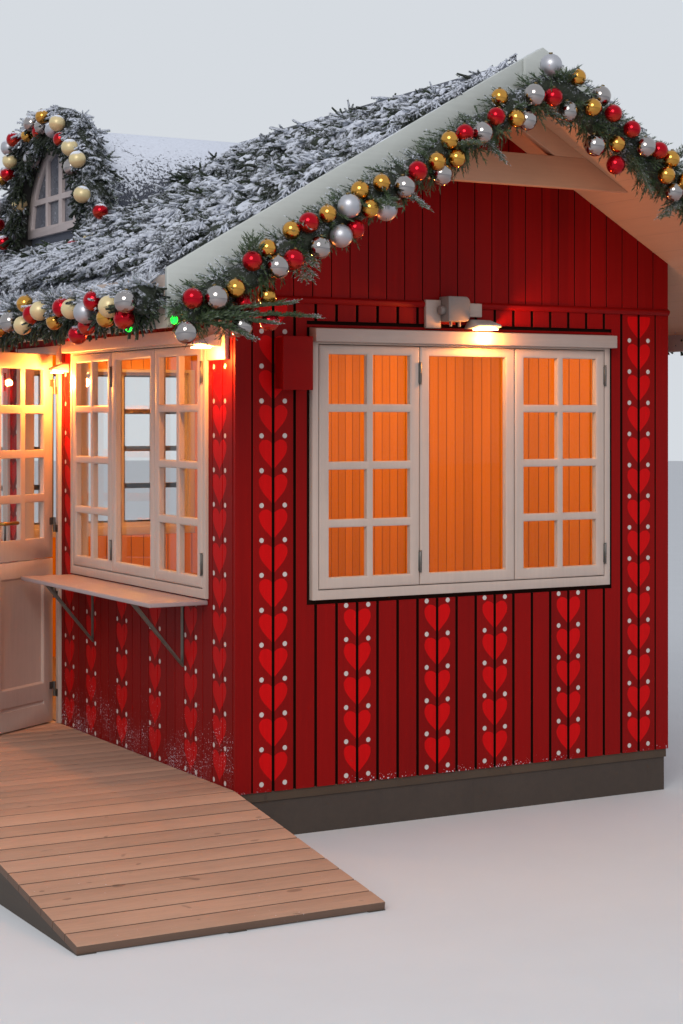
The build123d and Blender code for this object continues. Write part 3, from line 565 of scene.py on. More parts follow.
def fir_bed():
    """The inside of the branches, dark with painted shade, with snow caught between them."""
    bed = Finish("Fir bed", roughness=0.8)
    fine = bed.noise(75.0, 4.0, 0.75)
    patch = bed.noise(12.0, 3.0)
    snow = (bed.attribute("frost") * 0.42 + fine * 0.8 + (patch - 0.5) * 0.5).between(0.56, 0.72)
    # Near-black greens: painted shade inside the branches
    green = bed.mix(fine, tone(18, 26, 18), tone(58, 66, 50))
    return bed.done(bed.mix(snow, green, colours().snow), None, fine + snow * 0.6, 0.012)


def ball_glass(name, base, metallic, roughness):
    """Blown glass with a coloured skin, frosted on top where snow has settled, and a painted warm reflection
    on its lower half.
    """
    ball = Finish(name)
    speck = ball.noise(150.0, 3.0, 0.6)
    cloud = ball.noise(14.0)
    level = ball.attribute("frost")
    frost = (level + (speck - 0.5) * 0.9).between(0.62, 0.92)
    skin = ball.shade(base, 0.86 + cloud * 0.28)
    # Painted reflection: the lower half is tinted warm orange-brown, as of the lit red wall and lamps
    skin = ball.mix((0.0 - level).between(0.05, 0.5) * 0.6, skin, ball.mix(0.5, base, tone(190, 96, 44)))
    ball.set("Metallic", metallic * (1.0 - frost))
    shade = ball.mix(frost, skin, colours().snow)
    return ball.done(shade, roughness + frost * 0.6, frost + speck * 0.05, 0.002)


BALL_FINISHES = {
    "gold": (tone(204, 150, 70), 1.0, 0.13),
    "silver": (tone(166, 160, 158), 1.0, 0.10),
    "red": (tone(176, 4, 26), 0.8, 0.16),
    "satin": (tone(182, 182, 188), 0.85, 0.42),
    "cream": (tone(216, 196, 148), 0.25, 0.38),
}

finishes = {}


def mix_finishes():
    size, shades = sizes(), colours()
    pitch = gable_pitch()
    low_gable, tall_gable = [pitch * 1.5, pitch * 5.5], [pitch * 9.5]
    first, *low_side, last = [size.side_column - size.side_pitch * i for i in (0, 3, 7, 11, 15, 18)]
    sill = SASH_LOW.z
    gable = ("x", tall_gable, low_gable, sill, pitch, pitch / 2)
    side = ("y", [first, last], low_side, sill, size.side_pitch, size.side_column)
    finishes.update(
        red_gable=red_boards("Red gable boards", *gable, 0.05, 1.0),
        # The long walls' red and hearts are darkened to 0.76 of the gables': painted shade
        red_side=red_boards("Red side boards in painted shade", *side, 0.5, 0.76),
        red_trim=plain_red("Red trim", "x"),
        groove=painted_groove_shade(),
        cream_z=white_paint("Cream paint upright", shades.cream, "z"),
        # A darker cream than the casings' paint: painted shade of the head boards and lamp boards
        cream_x=white_paint("Cream paint across in painted shade", tone(180, 158, 147), "x", (1.5, 1.72)),
        cream_y=white_paint("Cream paint along", shades.cream, "y", (1.42, 1.6)),
        barge=white_paint("Bargeboard paint", shades.barge, "x", (1.3, 1.5)),
        shelf=white_paint("Shelf paint", tone(160, 142, 142), "y", (1.50, 1.72)),
        grey_frame=white_paint("Dormer paint", tone(186, 172, 170), "z", (1.5, 1.7)),
        # Cream soffit paint with painted warm lamp light
        soffit=white_paint("Soffit paint with painted lamp light", shades.soffit, "x"),
        lining=lining_boards(),
        # The deck's timber colour is partly painted warm lamp light
        deck=weathered_boards(
            "Deck boards", shades.timber, "x", "y", size.deck_pitch, GABLE_Y - size.deck_pitch * 20
        ),
        floor=weathered_boards("Floor boards", shades.floor, "y", "x", 0.12, 0.0),
        beams=rough_timber("Beam timber", tone(70, 58, 50)),
        joists=rough_timber("Joist timber", tone(74, 64, 56)),
        slab=roof_slab(),
        vault=snowy_felt("Vault felt", 2.85, 3.36, 0.30),
        apron=snowy_felt("Apron felt", 2.0, 3.6, -0.22),
        glass=clear_glass(),
        frosted=frosted_glass(),
        steel=metal("Hinge steel", shades.steel, 0.34),
        bracket=metal("Bracket steel", tone(120, 116, 108), 0.45, 0.85),
        brass=metal("Lock brass", shades.brass, 0.28),
        plastic=moulded("Lamp plastic", shades.plastic),
        drum=moulded("Drum plastic", tone(128, 116, 110)),
        lens=lamp_lens(),
        needles=fir_needles(),
        bed=fir_bed(),
        cap=metal("Ball cap", tone(126, 108, 72), 0.35),
        green_bulb=bulb("Green bulb", tone(20, 255, 60), 3.0),
        amber_bulb=bulb("Amber bulb", tone(255, 150, 50), 4.0),
    )
    for name, (base, metallic, roughness) in BALL_FINISHES.items():
        finishes["ball_" + name] = ball_glass("Ball " + name, base, metallic, roughness)


# Modelling


def pick(*objects):
    """Leaves only these objects selected, the first one active."""
    bpy.ops.object.select_all(action="DESELECT")
    for obj in objects:
        obj.select_set(True)
    bpy.context.view_layer.objects.active = objects[0]


def settle(obj):
    """Applies the object's place, turn and size to its mesh."""
    pick(obj)
    bpy.ops.object.transform_apply(location=True, rotation=True, scale=True)
    return obj


def put(obj, matrix):
    obj.matrix_world = matrix
    return settle(obj)


def smooth(obj, angle=None):
    """Shades a piece smooth, everywhere or only where it turns by less than an angle in degrees."""
    pick(obj)
    if angle is None:
        bpy.ops.object.shade_smooth()
    else:
        bpy.ops.object.shade_smooth_by_angle(angle=math.radians(angle))
    return obj


def added(name, data, place=None):
    """A new object in the scene round its data, at a place if one is given."""
    obj = bpy.data.objects.new(name, data)
    bpy.context.scene.collection.objects.link(obj)
    if place is not None:
        obj.location = place
    return obj


def named(name):
    """The object that the last operator added, under its own name."""
    obj = bpy.context.object
    obj.name = name
    obj.data.name = name
    return obj


def block(name, low, high):
    """A block between two corners, a start for boards and bars."""
    low, high = Vector(low), Vector(high)
    bpy.ops.mesh.primitive_cube_add(size=1, location=(low + high) / 2, scale=high - low)
    return settle(named(name))


def rod(name, start, end, radius, sides=12, tip=None):
    """A round bar between two points, tapered if a tip radius is given."""
    start, end = Vector(start), Vector(end)
    turn = (end - start).to_track_quat("Z", "Y").to_euler()
    bpy.ops.mesh.primitive_cone_add(
        vertices=sides,
        radius1=radius,
        radius2=radius if tip is None else tip,
        depth=(end - start).length,
        location=(start + end) / 2,
        rotation=turn,
    )
    return settle(named(name))


def edit(obj, select="SELECT"):
    """Edit mode with everything selected, or nothing."""
    pick(obj)
    bpy.ops.object.mode_set(mode="EDIT")
    bpy.ops.mesh.select_all(action=select)


def done_editing():
    bpy.ops.object.mode_set(mode="OBJECT")


def select_some(obj, kind, items, wanted):
    """Edit mode with the edges or faces selected that pass the test."""
    edit(obj, "DESELECT")
    bpy.ops.mesh.select_mode(type=kind)
    done_editing()
    for item in items:
        item.select = bool(wanted(item))
    bpy.ops.object.mode_set(mode="EDIT")


def select_edges(obj, wanted):
    """Edit mode with the edges selected whose two end points pass the test."""
    points = obj.data.vertices
    select_some(obj, "EDGE", obj.data.edges, lambda edge: wanted(*(points[i].co for i in edge.vertices)))


def select_faces(obj, wanted):
    """Edit mode with the faces selected that pass the test."""
    select_some(obj, "FACE", obj.data.polygons, wanted)


def apply_modifier(obj, kind, **settings):
    pick(obj)
    modifier = obj.modifiers.new(kind.title(), kind)
    for key, value in settings.items():
        setattr(modifier, key, value)
    bpy.ops.object.modifier_apply(modifier=modifier.name)
    return obj


def row_of(obj, count, step, **settings):
    """A row of copies of a piece, one step apart."""
    settings.update(count=count, use_relative_offset=False, use_constant_offset=True)
    return apply_modifier(obj, "ARRAY", constant_offset_displace=step, **settings)


def ease(obj, width=0.002, segments=2, angle=35.0):
    """Rounds the sharp edges and shades the piece smooth where it turns gently."""
    bevel = {"width": width, "segments": segments}
    apply_modifier(obj, "BEVEL", limit_method="ANGLE", angle_limit=math.radians(angle), **bevel)
    return smooth(obj, angle)


def join(name, parts):
    parts = list(parts)
    pick(*parts)
    if len(parts) > 1:
        bpy.ops.object.join()
    return named(name)


def remove(obj):
    mesh = obj.data
    bpy.data.objects.remove(obj)
    bpy.data.meshes.remove(mesh)


def cut_hole(obj, low, high):
    """Takes a block out of a piece."""
    cutter = block("cutter", low, high)
    apply_modifier(obj, "BOOLEAN", object=cutter, operation="DIFFERENCE", solver="EXACT")
    remove(cutter)
    return obj


def cut_plane(obj, point, normal):
    """Takes away what lies on the normal's side of a plane and closes the cut."""
    edit(obj)
    bpy.ops.mesh.bisect(plane_co=point, plane_no=normal, use_fill=True, clear_outer=True)
    done_editing()
    return obj


def finish_as(obj, *names):
    """Gives a piece its finishes, by their keys."""
    obj.data.materials.clear()
    for name in names:
        obj.data.materials.append(finishes[name])
    return obj


def place_on(obj, body, slot, *nodes):
    """Makes a piece ride on a body and stand for CAD nodes. The slot is not used."""
    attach(obj, body)
    if nodes:
        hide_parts(*nodes)
    return obj


def copy_of(node, name):
    """A CAD node's shape as a clean mesh of its own, its loose triangles merged to flat faces."""
    obj = added(name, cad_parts[node].data.copy())
    edit(obj)
    bpy.ops.mesh.remove_doubles(threshold=0.00002)
    bpy.ops.mesh.dissolve_limited(angle_limit=math.radians(0.5))
    done_editing()
    obj.data.materials.clear()
    return obj


def eased_copy(node, name, finish, body, slot, width=0.002, segments=2, angle=35.0):
    """A piece with a CAD node's shape, its edges rounded."""
    obj = ease(copy_of(node, name), width, segments, angle)
    return place_on(finish_as(obj, finish), body, slot, node)


def paint_node(node, finish):
    """A better finish for a CAD node whose shape is right."""
    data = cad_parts[node].data
    data.materials.clear()
    data.materials.append(finishes[finish])


def read(items, key, kind=int, width=1):
    """One value of every vertex, loop or face of a mesh as an array."""
    values = np.zeros(len(items) * width, kind)
    items.foreach_get(key, values)
    return values


def repeated(name, shapes, places, marks=None):
    """One mesh with a copy of a shape at each place. A mark scales the frost of its copy."""
    marks = np.ones(len(places)) if marks is None else np.asarray(marks, float)
    points, corners, starts, slots, frosts = [], [], [], [], []
    base = loops = 0
    for which, shape in enumerate(shapes):
        mesh = shape.data
        local = np.c_[read(mesh.vertices, "co", float, 3).reshape(-1, 3), np.ones(len(mesh.vertices))]
        index = read(mesh.loops, "vertex_index")
        begin = read(mesh.polygons, "loop_start")
        slot = read(mesh.polygons, "material_index")
        frost = np.ones(len(mesh.vertices))
        if "frost" in mesh.attributes:
            frost = read(mesh.attributes["frost"].data, "value", float)
        for place, mark in list(zip(places, marks))[which :: len(shapes)]:
            points.append(local @ np.array(place)[:3].T)
            corners.append(index + base)
            starts.append(begin + loops)
            slots.append(slot)
            frosts.append(frost * mark)
            base += len(local)
            loops += len(index)
    points, frosts = (np.concatenate(row).astype(np.float32) for row in (points, frosts))
    corners, starts, slots = (np.concatenate(row).astype(np.int32) for row in (corners, starts, slots))
    mesh = bpy.data.meshes.new(name)
    mesh.vertices.add(len(points))
    mesh.vertices.foreach_set("co", points.ravel())
    mesh.loops.add(len(corners))
    mesh.polygons.add(len(starts))
    mesh.polygons.foreach_set("loop_start", starts)
    mesh.polygons.foreach_set("vertices", corners)
    mesh.polygons.foreach_set("material_index", slots)
    mesh.attributes.new("frost", "FLOAT", "POINT").data.foreach_set("value", frosts)
    mesh.update(calc_edges=True)
    for material in shapes[0].data.materials:
        mesh.materials.append(material)
    return added(name, mesh)


def set_frost(obj, value_of):
    """Stores how frosty each point is, from its place."""
    mesh = obj.data
    layer = mesh.attributes.get("frost") or mesh.attributes.new("frost", "FLOAT", "POINT")
    layer.data.foreach_set("value", [value_of(v.co) for v in mesh.vertices])
    return obj


# Cladding


def gable_pitch():
    """Distance from board to board across the gable, between the corner boards."""
    return 2 * (SIDE_X - sizes().corner_board) / sizes().gable_boards


def board_row(first, pitch, count, groove, low, high, depth):
    """Upright boards side by side: one with its long edges eased, then repeated. Their face is y = 0."""
    board = block("board", (first + groove / 2, 0, low), (first + pitch - groove / 2, depth, high))
    select_edges(board, lambda a, b: abs(a.z - b.z) > 0.01 and a.y < 0.001)
    bpy.ops.mesh.bevel(offset=0.0025, segments=2, affect="EDGES")
    done_editing()
    return row_of(board, count, (pitch, 0, 0)) if count > 1 else board


def wall_core(node, name, moves):
    """The wall behind the boards: the CAD wall with its boarded faces set back, lined inside."""
    core = copy_of(node, name)
    for vertex in core.data.vertices:
        for axis, level, shift in moves:
            if abs(vertex.co[axis] - level) < 0.0005:
                vertex.co[axis] += shift
    core.data.update()
    return core


def lined(core, inward):
    """The groove finish, painted shade, outside and the lining on the faces that look into the room."""
    finish_as(core, "groove", "lining")
    for face in core.data.polygons:
        face.material_index = 1 if face.normal.dot(inward) > 0.5 else 0
    return core


def gable_cladding(name, node, wall):
    """Boards of a gable below and above the belt, with a batten over the window's head board."""
    size = sizes()
    depth = size.board_depth
    place = WALL_PLACES[wall]
    inward = -math.copysign(1, place.translation.y)
    pitch = gable_pitch()
    corner = SIDE_X - size.corner_board
    belt = (BELT_LOW.z + BELT_HIGH.z) / 2
    rows = [
        board_row(-corner, pitch, size.gable_boards, size.gable_groove, WALL_BASE, belt, depth),
        board_row(-SIDE_X, size.corner_board, 1, 0.0, WALL_BASE, belt, depth),
        board_row(corner, size.corner_board, 1, 0.0, WALL_BASE, belt, depth),
    ]
    side = WINDOW_HALF + size.casing_strip
    head = HEAD_HIGH.z
    lower = join("lower boards", rows)
    cut_hole(lower, (-side, -0.1, SASH_LOW.z - size.casing_strip), (side, 0.1, head + size.head_gap))
    batten = block("batten", (-side, 0, head + 0.0005), (side, depth, head + size.head_batten))
    lower = join("lower boards", [lower, ease(batten)])
    upper_pitch = 2 * SIDE_X / size.upper_boards
    upper = board_row(-SIDE_X, upper_pitch, size.upper_boards, size.upper_groove, belt, RIDGE_SOFFIT, depth)
    peak = Vector((0, 0, RIDGE_SOFFIT - 0.001))
    for way in (-1, 1):
        cut_plane(upper, peak, (way * math.sin(PITCH), 0, math.cos(PITCH)))
    boards = finish_as(join("boards", [lower, upper]), "red_gable", "groove")
    # The boards' side faces take the groove finish: painted shade
    for face in boards.data.polygons:
        face.material_index = int(abs(face.normal.x) > 0.9 and abs(face.center.x) < SIDE_X - 0.001)
    put(boards, place)
    moves = [(1, place.translation.y, inward * depth), (0, -SIDE_X, depth), (0, SIDE_X, -depth)]
    core = lined(wall_core(node, "core", moves), Vector((0, inward, 0)))
    place_on(join(name, [boards, core]), "hut", "red_boards", node)


def side_cladding(name, node, wall, start, end, low, window):
    """Boards of a long wall between two distances along it, as seen from outside."""
    size = sizes()
    depth, pitch = size.board_depth, size.side_pitch
    place = WALL_PLACES[wall]
    outer_x = place.translation.x
    inward = -math.copysign(1, outer_x)
    groove = -size.side_column - pitch * math.ceil((-size.side_column - start) / pitch - 0.001)
    edges = [start]
    while groove < end - 0.001:
        if groove > start + 0.001:
            edges.append(groove)
        groove += pitch
    edges.append(end)
    top = EAVE_TOP - 0.0005
    spans = list(zip(edges, edges[1:]))
    whole = [(a, b) for a, b in spans if abs(b - a - pitch) < 0.0005]
    ends = [(a, b) for a, b in spans if (a, b) not in whole and b - a > 0.012]
    rows = [board_row(a, b - a, 1, size.side_groove, low, top, depth) for a, b in ends]
    if whole:
        rows.append(board_row(whole[0][0], pitch, len(whole), size.side_groove, low, top, depth))
    boards = join("boards", rows)
    if window is not None:
        half, low, high = WINDOW_HALF + 0.001, SASH_LOW.z - 0.001, SASH_HIGH.z + 0.001
        cut_hole(boards, (window - half, -0.1, low), (window + half, 0.1, high))
    finish_as(put(boards, place), "red_side")
    core = lined(wall_core(node, "core", [(0, outer_x, inward * depth)]), Vector((inward, 0, 0)))
    place_on(join(name, [boards, core]), "hut", "red_boards", node)


def clad_walls():
    half = abs(GABLE_Y) - sizes().board_depth
    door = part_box("door_frame")[1]
    gable_cladding("front_gable_boards", "front_wall", "front")
    gable_cladding("rear_gable_boards", "rear_wall", "rear")
    for name, node, wall, start, end, low, window in (
        ("near_serving_boards", "serving_wall_near", "serving", door.y, half, WALL_BASE, SERVING_CENTRE),
        ("far_serving_boards", "serving_wall_far", "serving", -half, -door.y, WALL_BASE, -SERVING_CENTRE),
        ("door_head_boards", "wall_over_door", "serving", -door.y, door.y, door.z, None),
        ("right_wall_boards", "right_wall", "right", -half, half, WALL_BASE, None),
    ):
        side_cladding(name, node, wall, start, end, low, window)
    eased_copy("belt_mouldings", "belt_mouldings_dressed", "red_trim", "hut", "red_boards")


# Windows


def sash_hinge():
    """A small pin hinge of a casement: a barrel with two knuckle joints and a leaf."""
    half = sizes().sash_hinge / 2
    barrel = rod("hinge", (0, 0, -half), (0, 0, half), 0.0055, 12)
    collars = [rod("collar", (0, 0, z - 0.002), (0, 0, z + 0.002), 0.007, 12) for z in (-half, 0.0, half)]
    leaf = block("leaf", (-0.010, 0.002, -half * 0.9), (0.010, 0.0042, half * 0.9))
    return ease(join("sash_hinge", [barrel, leaf] + collars), 0.0008, 1)


def moulded_sashes():
    """The casements, their faces raised a little with a moulded slope round every pane."""
    size = sizes()
    sashes = copy_of("window_sashes", "sashes_dressed")
    walls = [place.inverted() for place in WALL_PLACES.values()]
    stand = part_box("window_sashes")[0].y - GABLE_Y

    def outward(face):
        turned = [((wall.to_3x3() @ face.normal).y, (wall @ face.center).y) for wall in walls]
        return any(normal < -0.99 and abs(depth - stand) < 0.001 for normal, depth in turned)

    select_faces(sashes, outward)
    bpy.ops.mesh.inset(thickness=size.moulding_width, depth=size.moulding_height)
    done_editing()
    ease(sashes, 0.0012, 1, 25.0)
    place_on(finish_as(sashes, "cream_z"), "hut", "cream_paint", "window_sashes")


def window_pieces():
    eased_copy("window_casings", "casings_dressed", "cream_z", "hut", "cream_paint")
    moulded_sashes()
    eased_copy("window_head_boards", "head_boards_dressed", "cream_x", "hut", "cream_paint", 0.003)
    paint_node("window_glass", "glass")
    hinge = sash_hinge()
    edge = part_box("window_sashes")[1].x + 0.002
    low, high = SASH_LOW.z + 0.15, SASH_HIGH.z - 0.13
    spots = [(-edge / 3, low), (-edge / 3, high), (edge, low), (edge, high)]
    stand = -0.0195
    windows = (("front", 0.0), ("rear", 0.0), ("serving", SERVING_CENTRE), ("serving", -SERVING_CENTRE))
    places = [
        WALL_PLACES[wall] @ Matrix.Translation((middle + x, stand, z))
        for wall, middle in windows
        for x, z in spots
    ]
    hinges = repeated("sash_hinges", [hinge], places)
    remove(hinge)
    place_on(finish_as(hinges, "steel"), "hut", "hinge_steel")


# Door


def door_pieces():
    eased_copy("door_frame", "door_frame_dressed", "cream_z", "hut", "cream_paint", 0.003)
    eased_copy("door_lower_leaf", "lower_leaf_dressed", "cream_z", "door_lower", "cream_paint")
    eased_copy("door_upper_leaf", "upper_leaf_dressed", "cream_z", "door_upper", "cream_paint", 0.006, 3)
    paint_node("door_glass", "glass")
    for node, piece, body in (
        ("door_frame_hinges", "frame_hinges_dressed", "hut"),
        ("lower_leaf_hinges", "lower_hinges_dressed", "door_lower"),
        ("upper_leaf_hinges", "upper_hinges_dressed", "door_upper"),
    ):
        eased_copy(node, piece, "steel", body, "hinge_steel", 0.0007, 1)
    eased_copy("door_lock_plate", "lock_plate_dressed", "brass", "door_upper", "lock_brass", 0.0008, 2, 40)
    eased_copy("door_lever", "door_lever_dressed", "brass", "door_handle", "lock_brass", 0.002, 2, 50)


# Roof, trim and dormer


def roof_pieces():
    for slope in ("roof_left", "roof_right"):
        eased_copy(slope, slope + "_dressed", "slab", "hut", "roof_felt", 0.003)
    eased_copy("ridge_cap", "ridge_cap_dressed", "apron", "hut", "roof_felt", 0.001, 1, 50)
    eased_copy("bargeboards", "bargeboards_dressed", "barge", "hut", "cream_paint", 0.003)
    eased_copy("peak_pieces", "peak_pieces_dressed", "barge", "hut", "cream_paint", 0.003)
    eased_copy("eave_fascias", "fascias_dressed", "cream_y", "hut", "cream_paint", 0.003)
    # The trusses take the soffit paint with its painted warm lamp light
    for timbers in ("truss_rafters", "truss_collars"):
        eased_copy(timbers, timbers + "_dressed", "soffit", "hut", "soffit_paint", 0.003)


def dormer_pieces():
    eased_copy("dormer_roof", "vault_dressed", "vault", "hut", "roof_felt", 0.003, 2, 40)
    eased_copy("dormer_front", "dormer_front_dressed", "apron", "hut", "roof_felt")
    eased_copy("dormer_window", "dormer_window_dressed", "grey_frame", "hut", "cream_paint")
    paint_node("dormer_glass", "frosted")


# Shelves, deck, base


def shelf_pieces():
    eased_copy("shelves", "shelves_dressed", "shelf", "hut", "cream_paint", 0.004, 3)
    eased_copy("shelf_brackets", "brackets_dressed", "bracket", "hut", "bracket_steel", 0.0012)


def deck_row(name, low_y, high_y, thickness):
    """Boards across the deck, their upper edges eased, side by side between two distances along it."""
    size = sizes()
    count = round((high_y - low_y) / size.deck_pitch)
    pitch = (high_y - low_y) / count
    near, far = low_y + size.deck_gap / 2, low_y + pitch - size.deck_gap / 2
    board = block(name, (DECK_LOW.x, near, -thickness), (DECK_HIGH.x, far, 0))
    select_edges(board, lambda a, b: a.z > -0.001 and b.z > -0.001 and abs(a.x - b.x) > 0.1)
    bpy.ops.mesh.bevel(offset=0.004, segments=2, affect="EDGES")
    done_editing()
    return row_of(board, count, (0, pitch, 0))


def deck_pieces():
    """The deck's boards, and the ramp's, which are tilted and cut off at the ground and the deck."""
    thickness = DECK_HIGH.z - DECK_LOW.z
    deck = deck_row("deck_boards_dressed", DECK_LOW.y, DECK_HIGH.y, thickness)
    put(deck, Matrix.Translation((0, 0, DECK_HIGH.z)))
    toe = 0.030
    fall = math.atan2(DECK_HIGH.z - toe, RAMP_HIGH.y - RAMP_LOW.y)
    run = (RAMP_HIGH.y - RAMP_LOW.y) / math.cos(fall)
    ramp = deck_row("ramp_boards_dressed", -run, 0.0, thickness * math.cos(fall))
    put(ramp, Matrix.Translation((0, RAMP_HIGH.y, DECK_HIGH.z)) @ Matrix.Rotation(fall, 4, "X"))
    cut_plane(ramp, (0, 0, 0.0005), (0, 0, -1))
    cut_plane(ramp, (0, RAMP_HIGH.y, 0), (0, 1, 0))
    for boards, node in ((deck, "deck_boards"), (ramp, "ramp_boards")):
        place_on(smooth(finish_as(boards, "deck"), 35), "hut", "grey_timber", node)


def base_pieces():
    paint_node("ground_beams", "beams")
    paint_node("floor", "floor")
    paint_node("deck_joists", "joists")


# Box and lamps

# Left and right edge, foot and middle of the sensor drum beside the gable's floodlight
DRUM_LEFT, DRUM_RIGHT, DRUM_FOOT = -0.1475, -0.0325, 2.233
DRUM_MIDDLE = GABLE_Y - 0.045

# Low and high corner of the glass under each of the three floodlights
LENSES = [
    ((0.010, GABLE_Y - 0.098, 2.197), (0.108, GABLE_Y - 0.038, 2.204)),
    ((-SIDE_X - 0.115, -2.240, 2.099), (-SIDE_X - 0.060, -2.150, 2.106)),
    ((-SIDE_X - 0.085, -0.422, 2.029), (-SIDE_X - 0.030, -0.378, 2.036)),
]


def lamp_pieces():
    """The meter box and the floodlights, with two pins and a bolt on the drum and a lens in each lamp."""
    eased_copy("meter_box", "meter_box_dressed", "red_trim", "hut", "red_boards", 0.003, 3)
    eased_copy("lamp_boards", "lamp_boards_dressed", "cream_x", "hut", "cream_paint", 0.003)
    lamps = eased_copy("lamps", "lamps_dressed", "plastic", "hut", "lamp_white", 0.004, 3)
    finish_as(lamps, "plastic", "drum")
    for face in lamps.data.polygons:
        face.material_index = int(DRUM_LEFT < face.center.x < DRUM_RIGHT and face.center.z > DRUM_FOOT)
    fittings = []
    for share in (0.3, 0.7):
        x = DRUM_LEFT + (DRUM_RIGHT - DRUM_LEFT) * share
        pin = rod("pin", (x, DRUM_MIDDLE, DRUM_FOOT - 0.022), (x, DRUM_MIDDLE, DRUM_FOOT), 0.007, 10)
        fittings.append(pin)
    height = DRUM_FOOT + 0.05
    bolt = rod("bolt", (DRUM_LEFT - 0.026, DRUM_MIDDLE, height), (DRUM_LEFT, DRUM_MIDDLE, height), 0.02, 16)
    fittings.append(ease(bolt, 0.003))
    place_on(finish_as(join("lamp_fittings", fittings), "drum"), "hut", "lamp_white")
    lenses = [ease(block("lens", low, high), 0.001) for low, high in LENSES]
    place_on(finish_as(join("lamp_lenses", lenses), "lens"), "hut", "lamp_white")


# Fir branches and garlands

UP = Vector((0, 0, 1))


def needle():
    """A single flat needle along +X: a triangle drawn out to a point, frosted towards its tip."""
    bpy.ops.mesh.primitive_circle_add(vertices=3, radius=1, fill_type="NGON", rotation=(0, 0, -math.pi / 2))
    shape = settle(named("needle"))
    size = sizes()
    places = [v.co.x for v in shape.data.vertices]
    low, reach = min(places), max(places) - min(places)
    shape.data.transform(Matrix.Translation((-low, 0, 0)))
    shape.data.transform(Matrix.Diagonal((size.needle_length / reach, size.needle_width / 1.73, 1, 1)))
    set_frost(shape, lambda co: 1.0 if co.x > size.needle_length / 2 else 0.3)
    return shape


def sprig(name, seed, needles, laden=False):
    """A fir sprig along +X: a stem and two side shoots with needles all round. A laden one carries snow."""
    rng = np.random.default_rng(seed)
    size = sizes()
    span = size.sprig_length
    shoots = [(Vector((0, 0, 0)), Vector((1, 0, 0.08)), span, needles)]
    for way in (-1, 1):
        start = Vector((span * rng.uniform(0.15, 0.4), 0, 0))
        along = Vector((1, way * rng.uniform(0.6, 0.9), rng.uniform(-0.1, 0.2)))
        shoots.append((start, along, span * 0.5, needles // 2 - 1))
    places, snow = [], []
    for start, along, reach, count in shoots:
        turn = along.to_track_quat("X", "Z").to_matrix().to_4x4()
        drawn = Matrix.Diagonal((reach / size.needle_length, 1, 1, 1))
        places.append(Matrix.Translation(start) @ turn @ drawn)
        for i in range(count):
            where = start + along.normalized() * reach * (i + 0.5) / count
            spread = rng.uniform(0.8, 1.2) * (1.0 if i < count - 2 else 0.3)
            tilt = Matrix.Rotation(rng.uniform(-1.9, 1.9), 4, "X") @ Matrix.Rotation(-spread, 4, "Y")
            places.append(Matrix.Translation(where) @ turn @ tilt @ Matrix.Scale(rng.uniform(0.8, 1.2), 4))
        if laden:
            over = start + Vector((0, 0, 0.006))
            tip = over + along.normalized() * reach * 1.02
            snow.append(rod("snow", over + along.normalized() * reach * 0.1, tip, 0.0085, 3, 0.0045))
    leaf = needle()
    green = [repeated("needles", [leaf], places)]
    remove(leaf)
    if not laden:
        stem = rod("stem", (0, 0, 0), (span, 0, span * 0.08), 0.0024, 3, 0.0008)
        green.append(set_frost(stem, lambda co: 0.3))
    for cushion in snow:
        set_frost(cushion, lambda co: 1.0)
    plain = sum(len(part.data.polygons) for part in green)
    shape = finish_as(join(name, green + snow), "needles", "bed")
    for face in shape.data.polygons:
        face.material_index = int(face.index >= plain)
        face.use_smooth = face.index >= plain
    return shape


def bedded(bed, frost):
    """A bed of branches or snow with one level of frost, smooth and with its finish."""
    return finish_as(smooth(set_frost(bed, lambda co: frost)), "bed")


def snow_lump():
    """A small cushion of snow as it lies on a branch."""
    bpy.ops.mesh.primitive_ico_sphere_add(subdivisions=1, radius=1)
    lump = named("lump")
    lump.scale = (0.024, 0.012, 0.010)
    settle(lump)
    return bedded(lumpy(lump, 0.008, 0.02), 1.5)


def aimed(point, along, up, size):
    """A place whose x axis points along and whose z axis leans towards up."""
    along = along.normalized()
    side = up.cross(along)
    if side.length < 0.05:
        side = Vector((1, 0, 0)).cross(along)
    side.normalize()
    turn = Matrix((along, side, along.cross(side))).transposed().to_4x4()
    return Matrix.Translation(point) @ turn @ Matrix.Scale(size, 4)


def surface_points(bed, number, rng):
    """Random places on a mesh, evenly by area, with the normal and the frost at each."""
    bed.data.calc_loop_triangles()
    triangles = bed.data.loop_triangles
    frost = bed.data.attributes["frost"].data
    areas = np.array([t.area for t in triangles])
    spots = []
    for index in rng.choice(len(areas), number, p=areas / areas.sum()):
        triangle = triangles[int(index)]
        a, b, c = (bed.data.vertices[i].co for i in triangle.vertices)
        u, v = rng.uniform(), rng.uniform()
        if u + v > 1:
            u, v = 1 - u, 1 - v
        level = frost[triangle.vertices[0]].value
        spots.append((a + (b - a) * u + (c - a) * v, Vector(triangle.normal), level))
    return spots


def strewn(bed, number, flow, lift, turn, frost, seed):
    """Places of sprigs all over a bed, each along the flow and off the surface, and their frost."""
    rng = np.random.default_rng(seed)
    places, marks = [], []
    for point, normal, level in surface_points(bed, number, rng):
        along = flow(point, normal).normalized() + normal * rng.uniform(*lift)
        along += Vector(rng.normal(0, turn, 3))
        places.append(aimed(point - normal * 0.012, along, normal, rng.uniform(0.75, 1.2)))
        marks.append(frost(level, normal) + rng.normal(0, 0.12))
    return places, marks


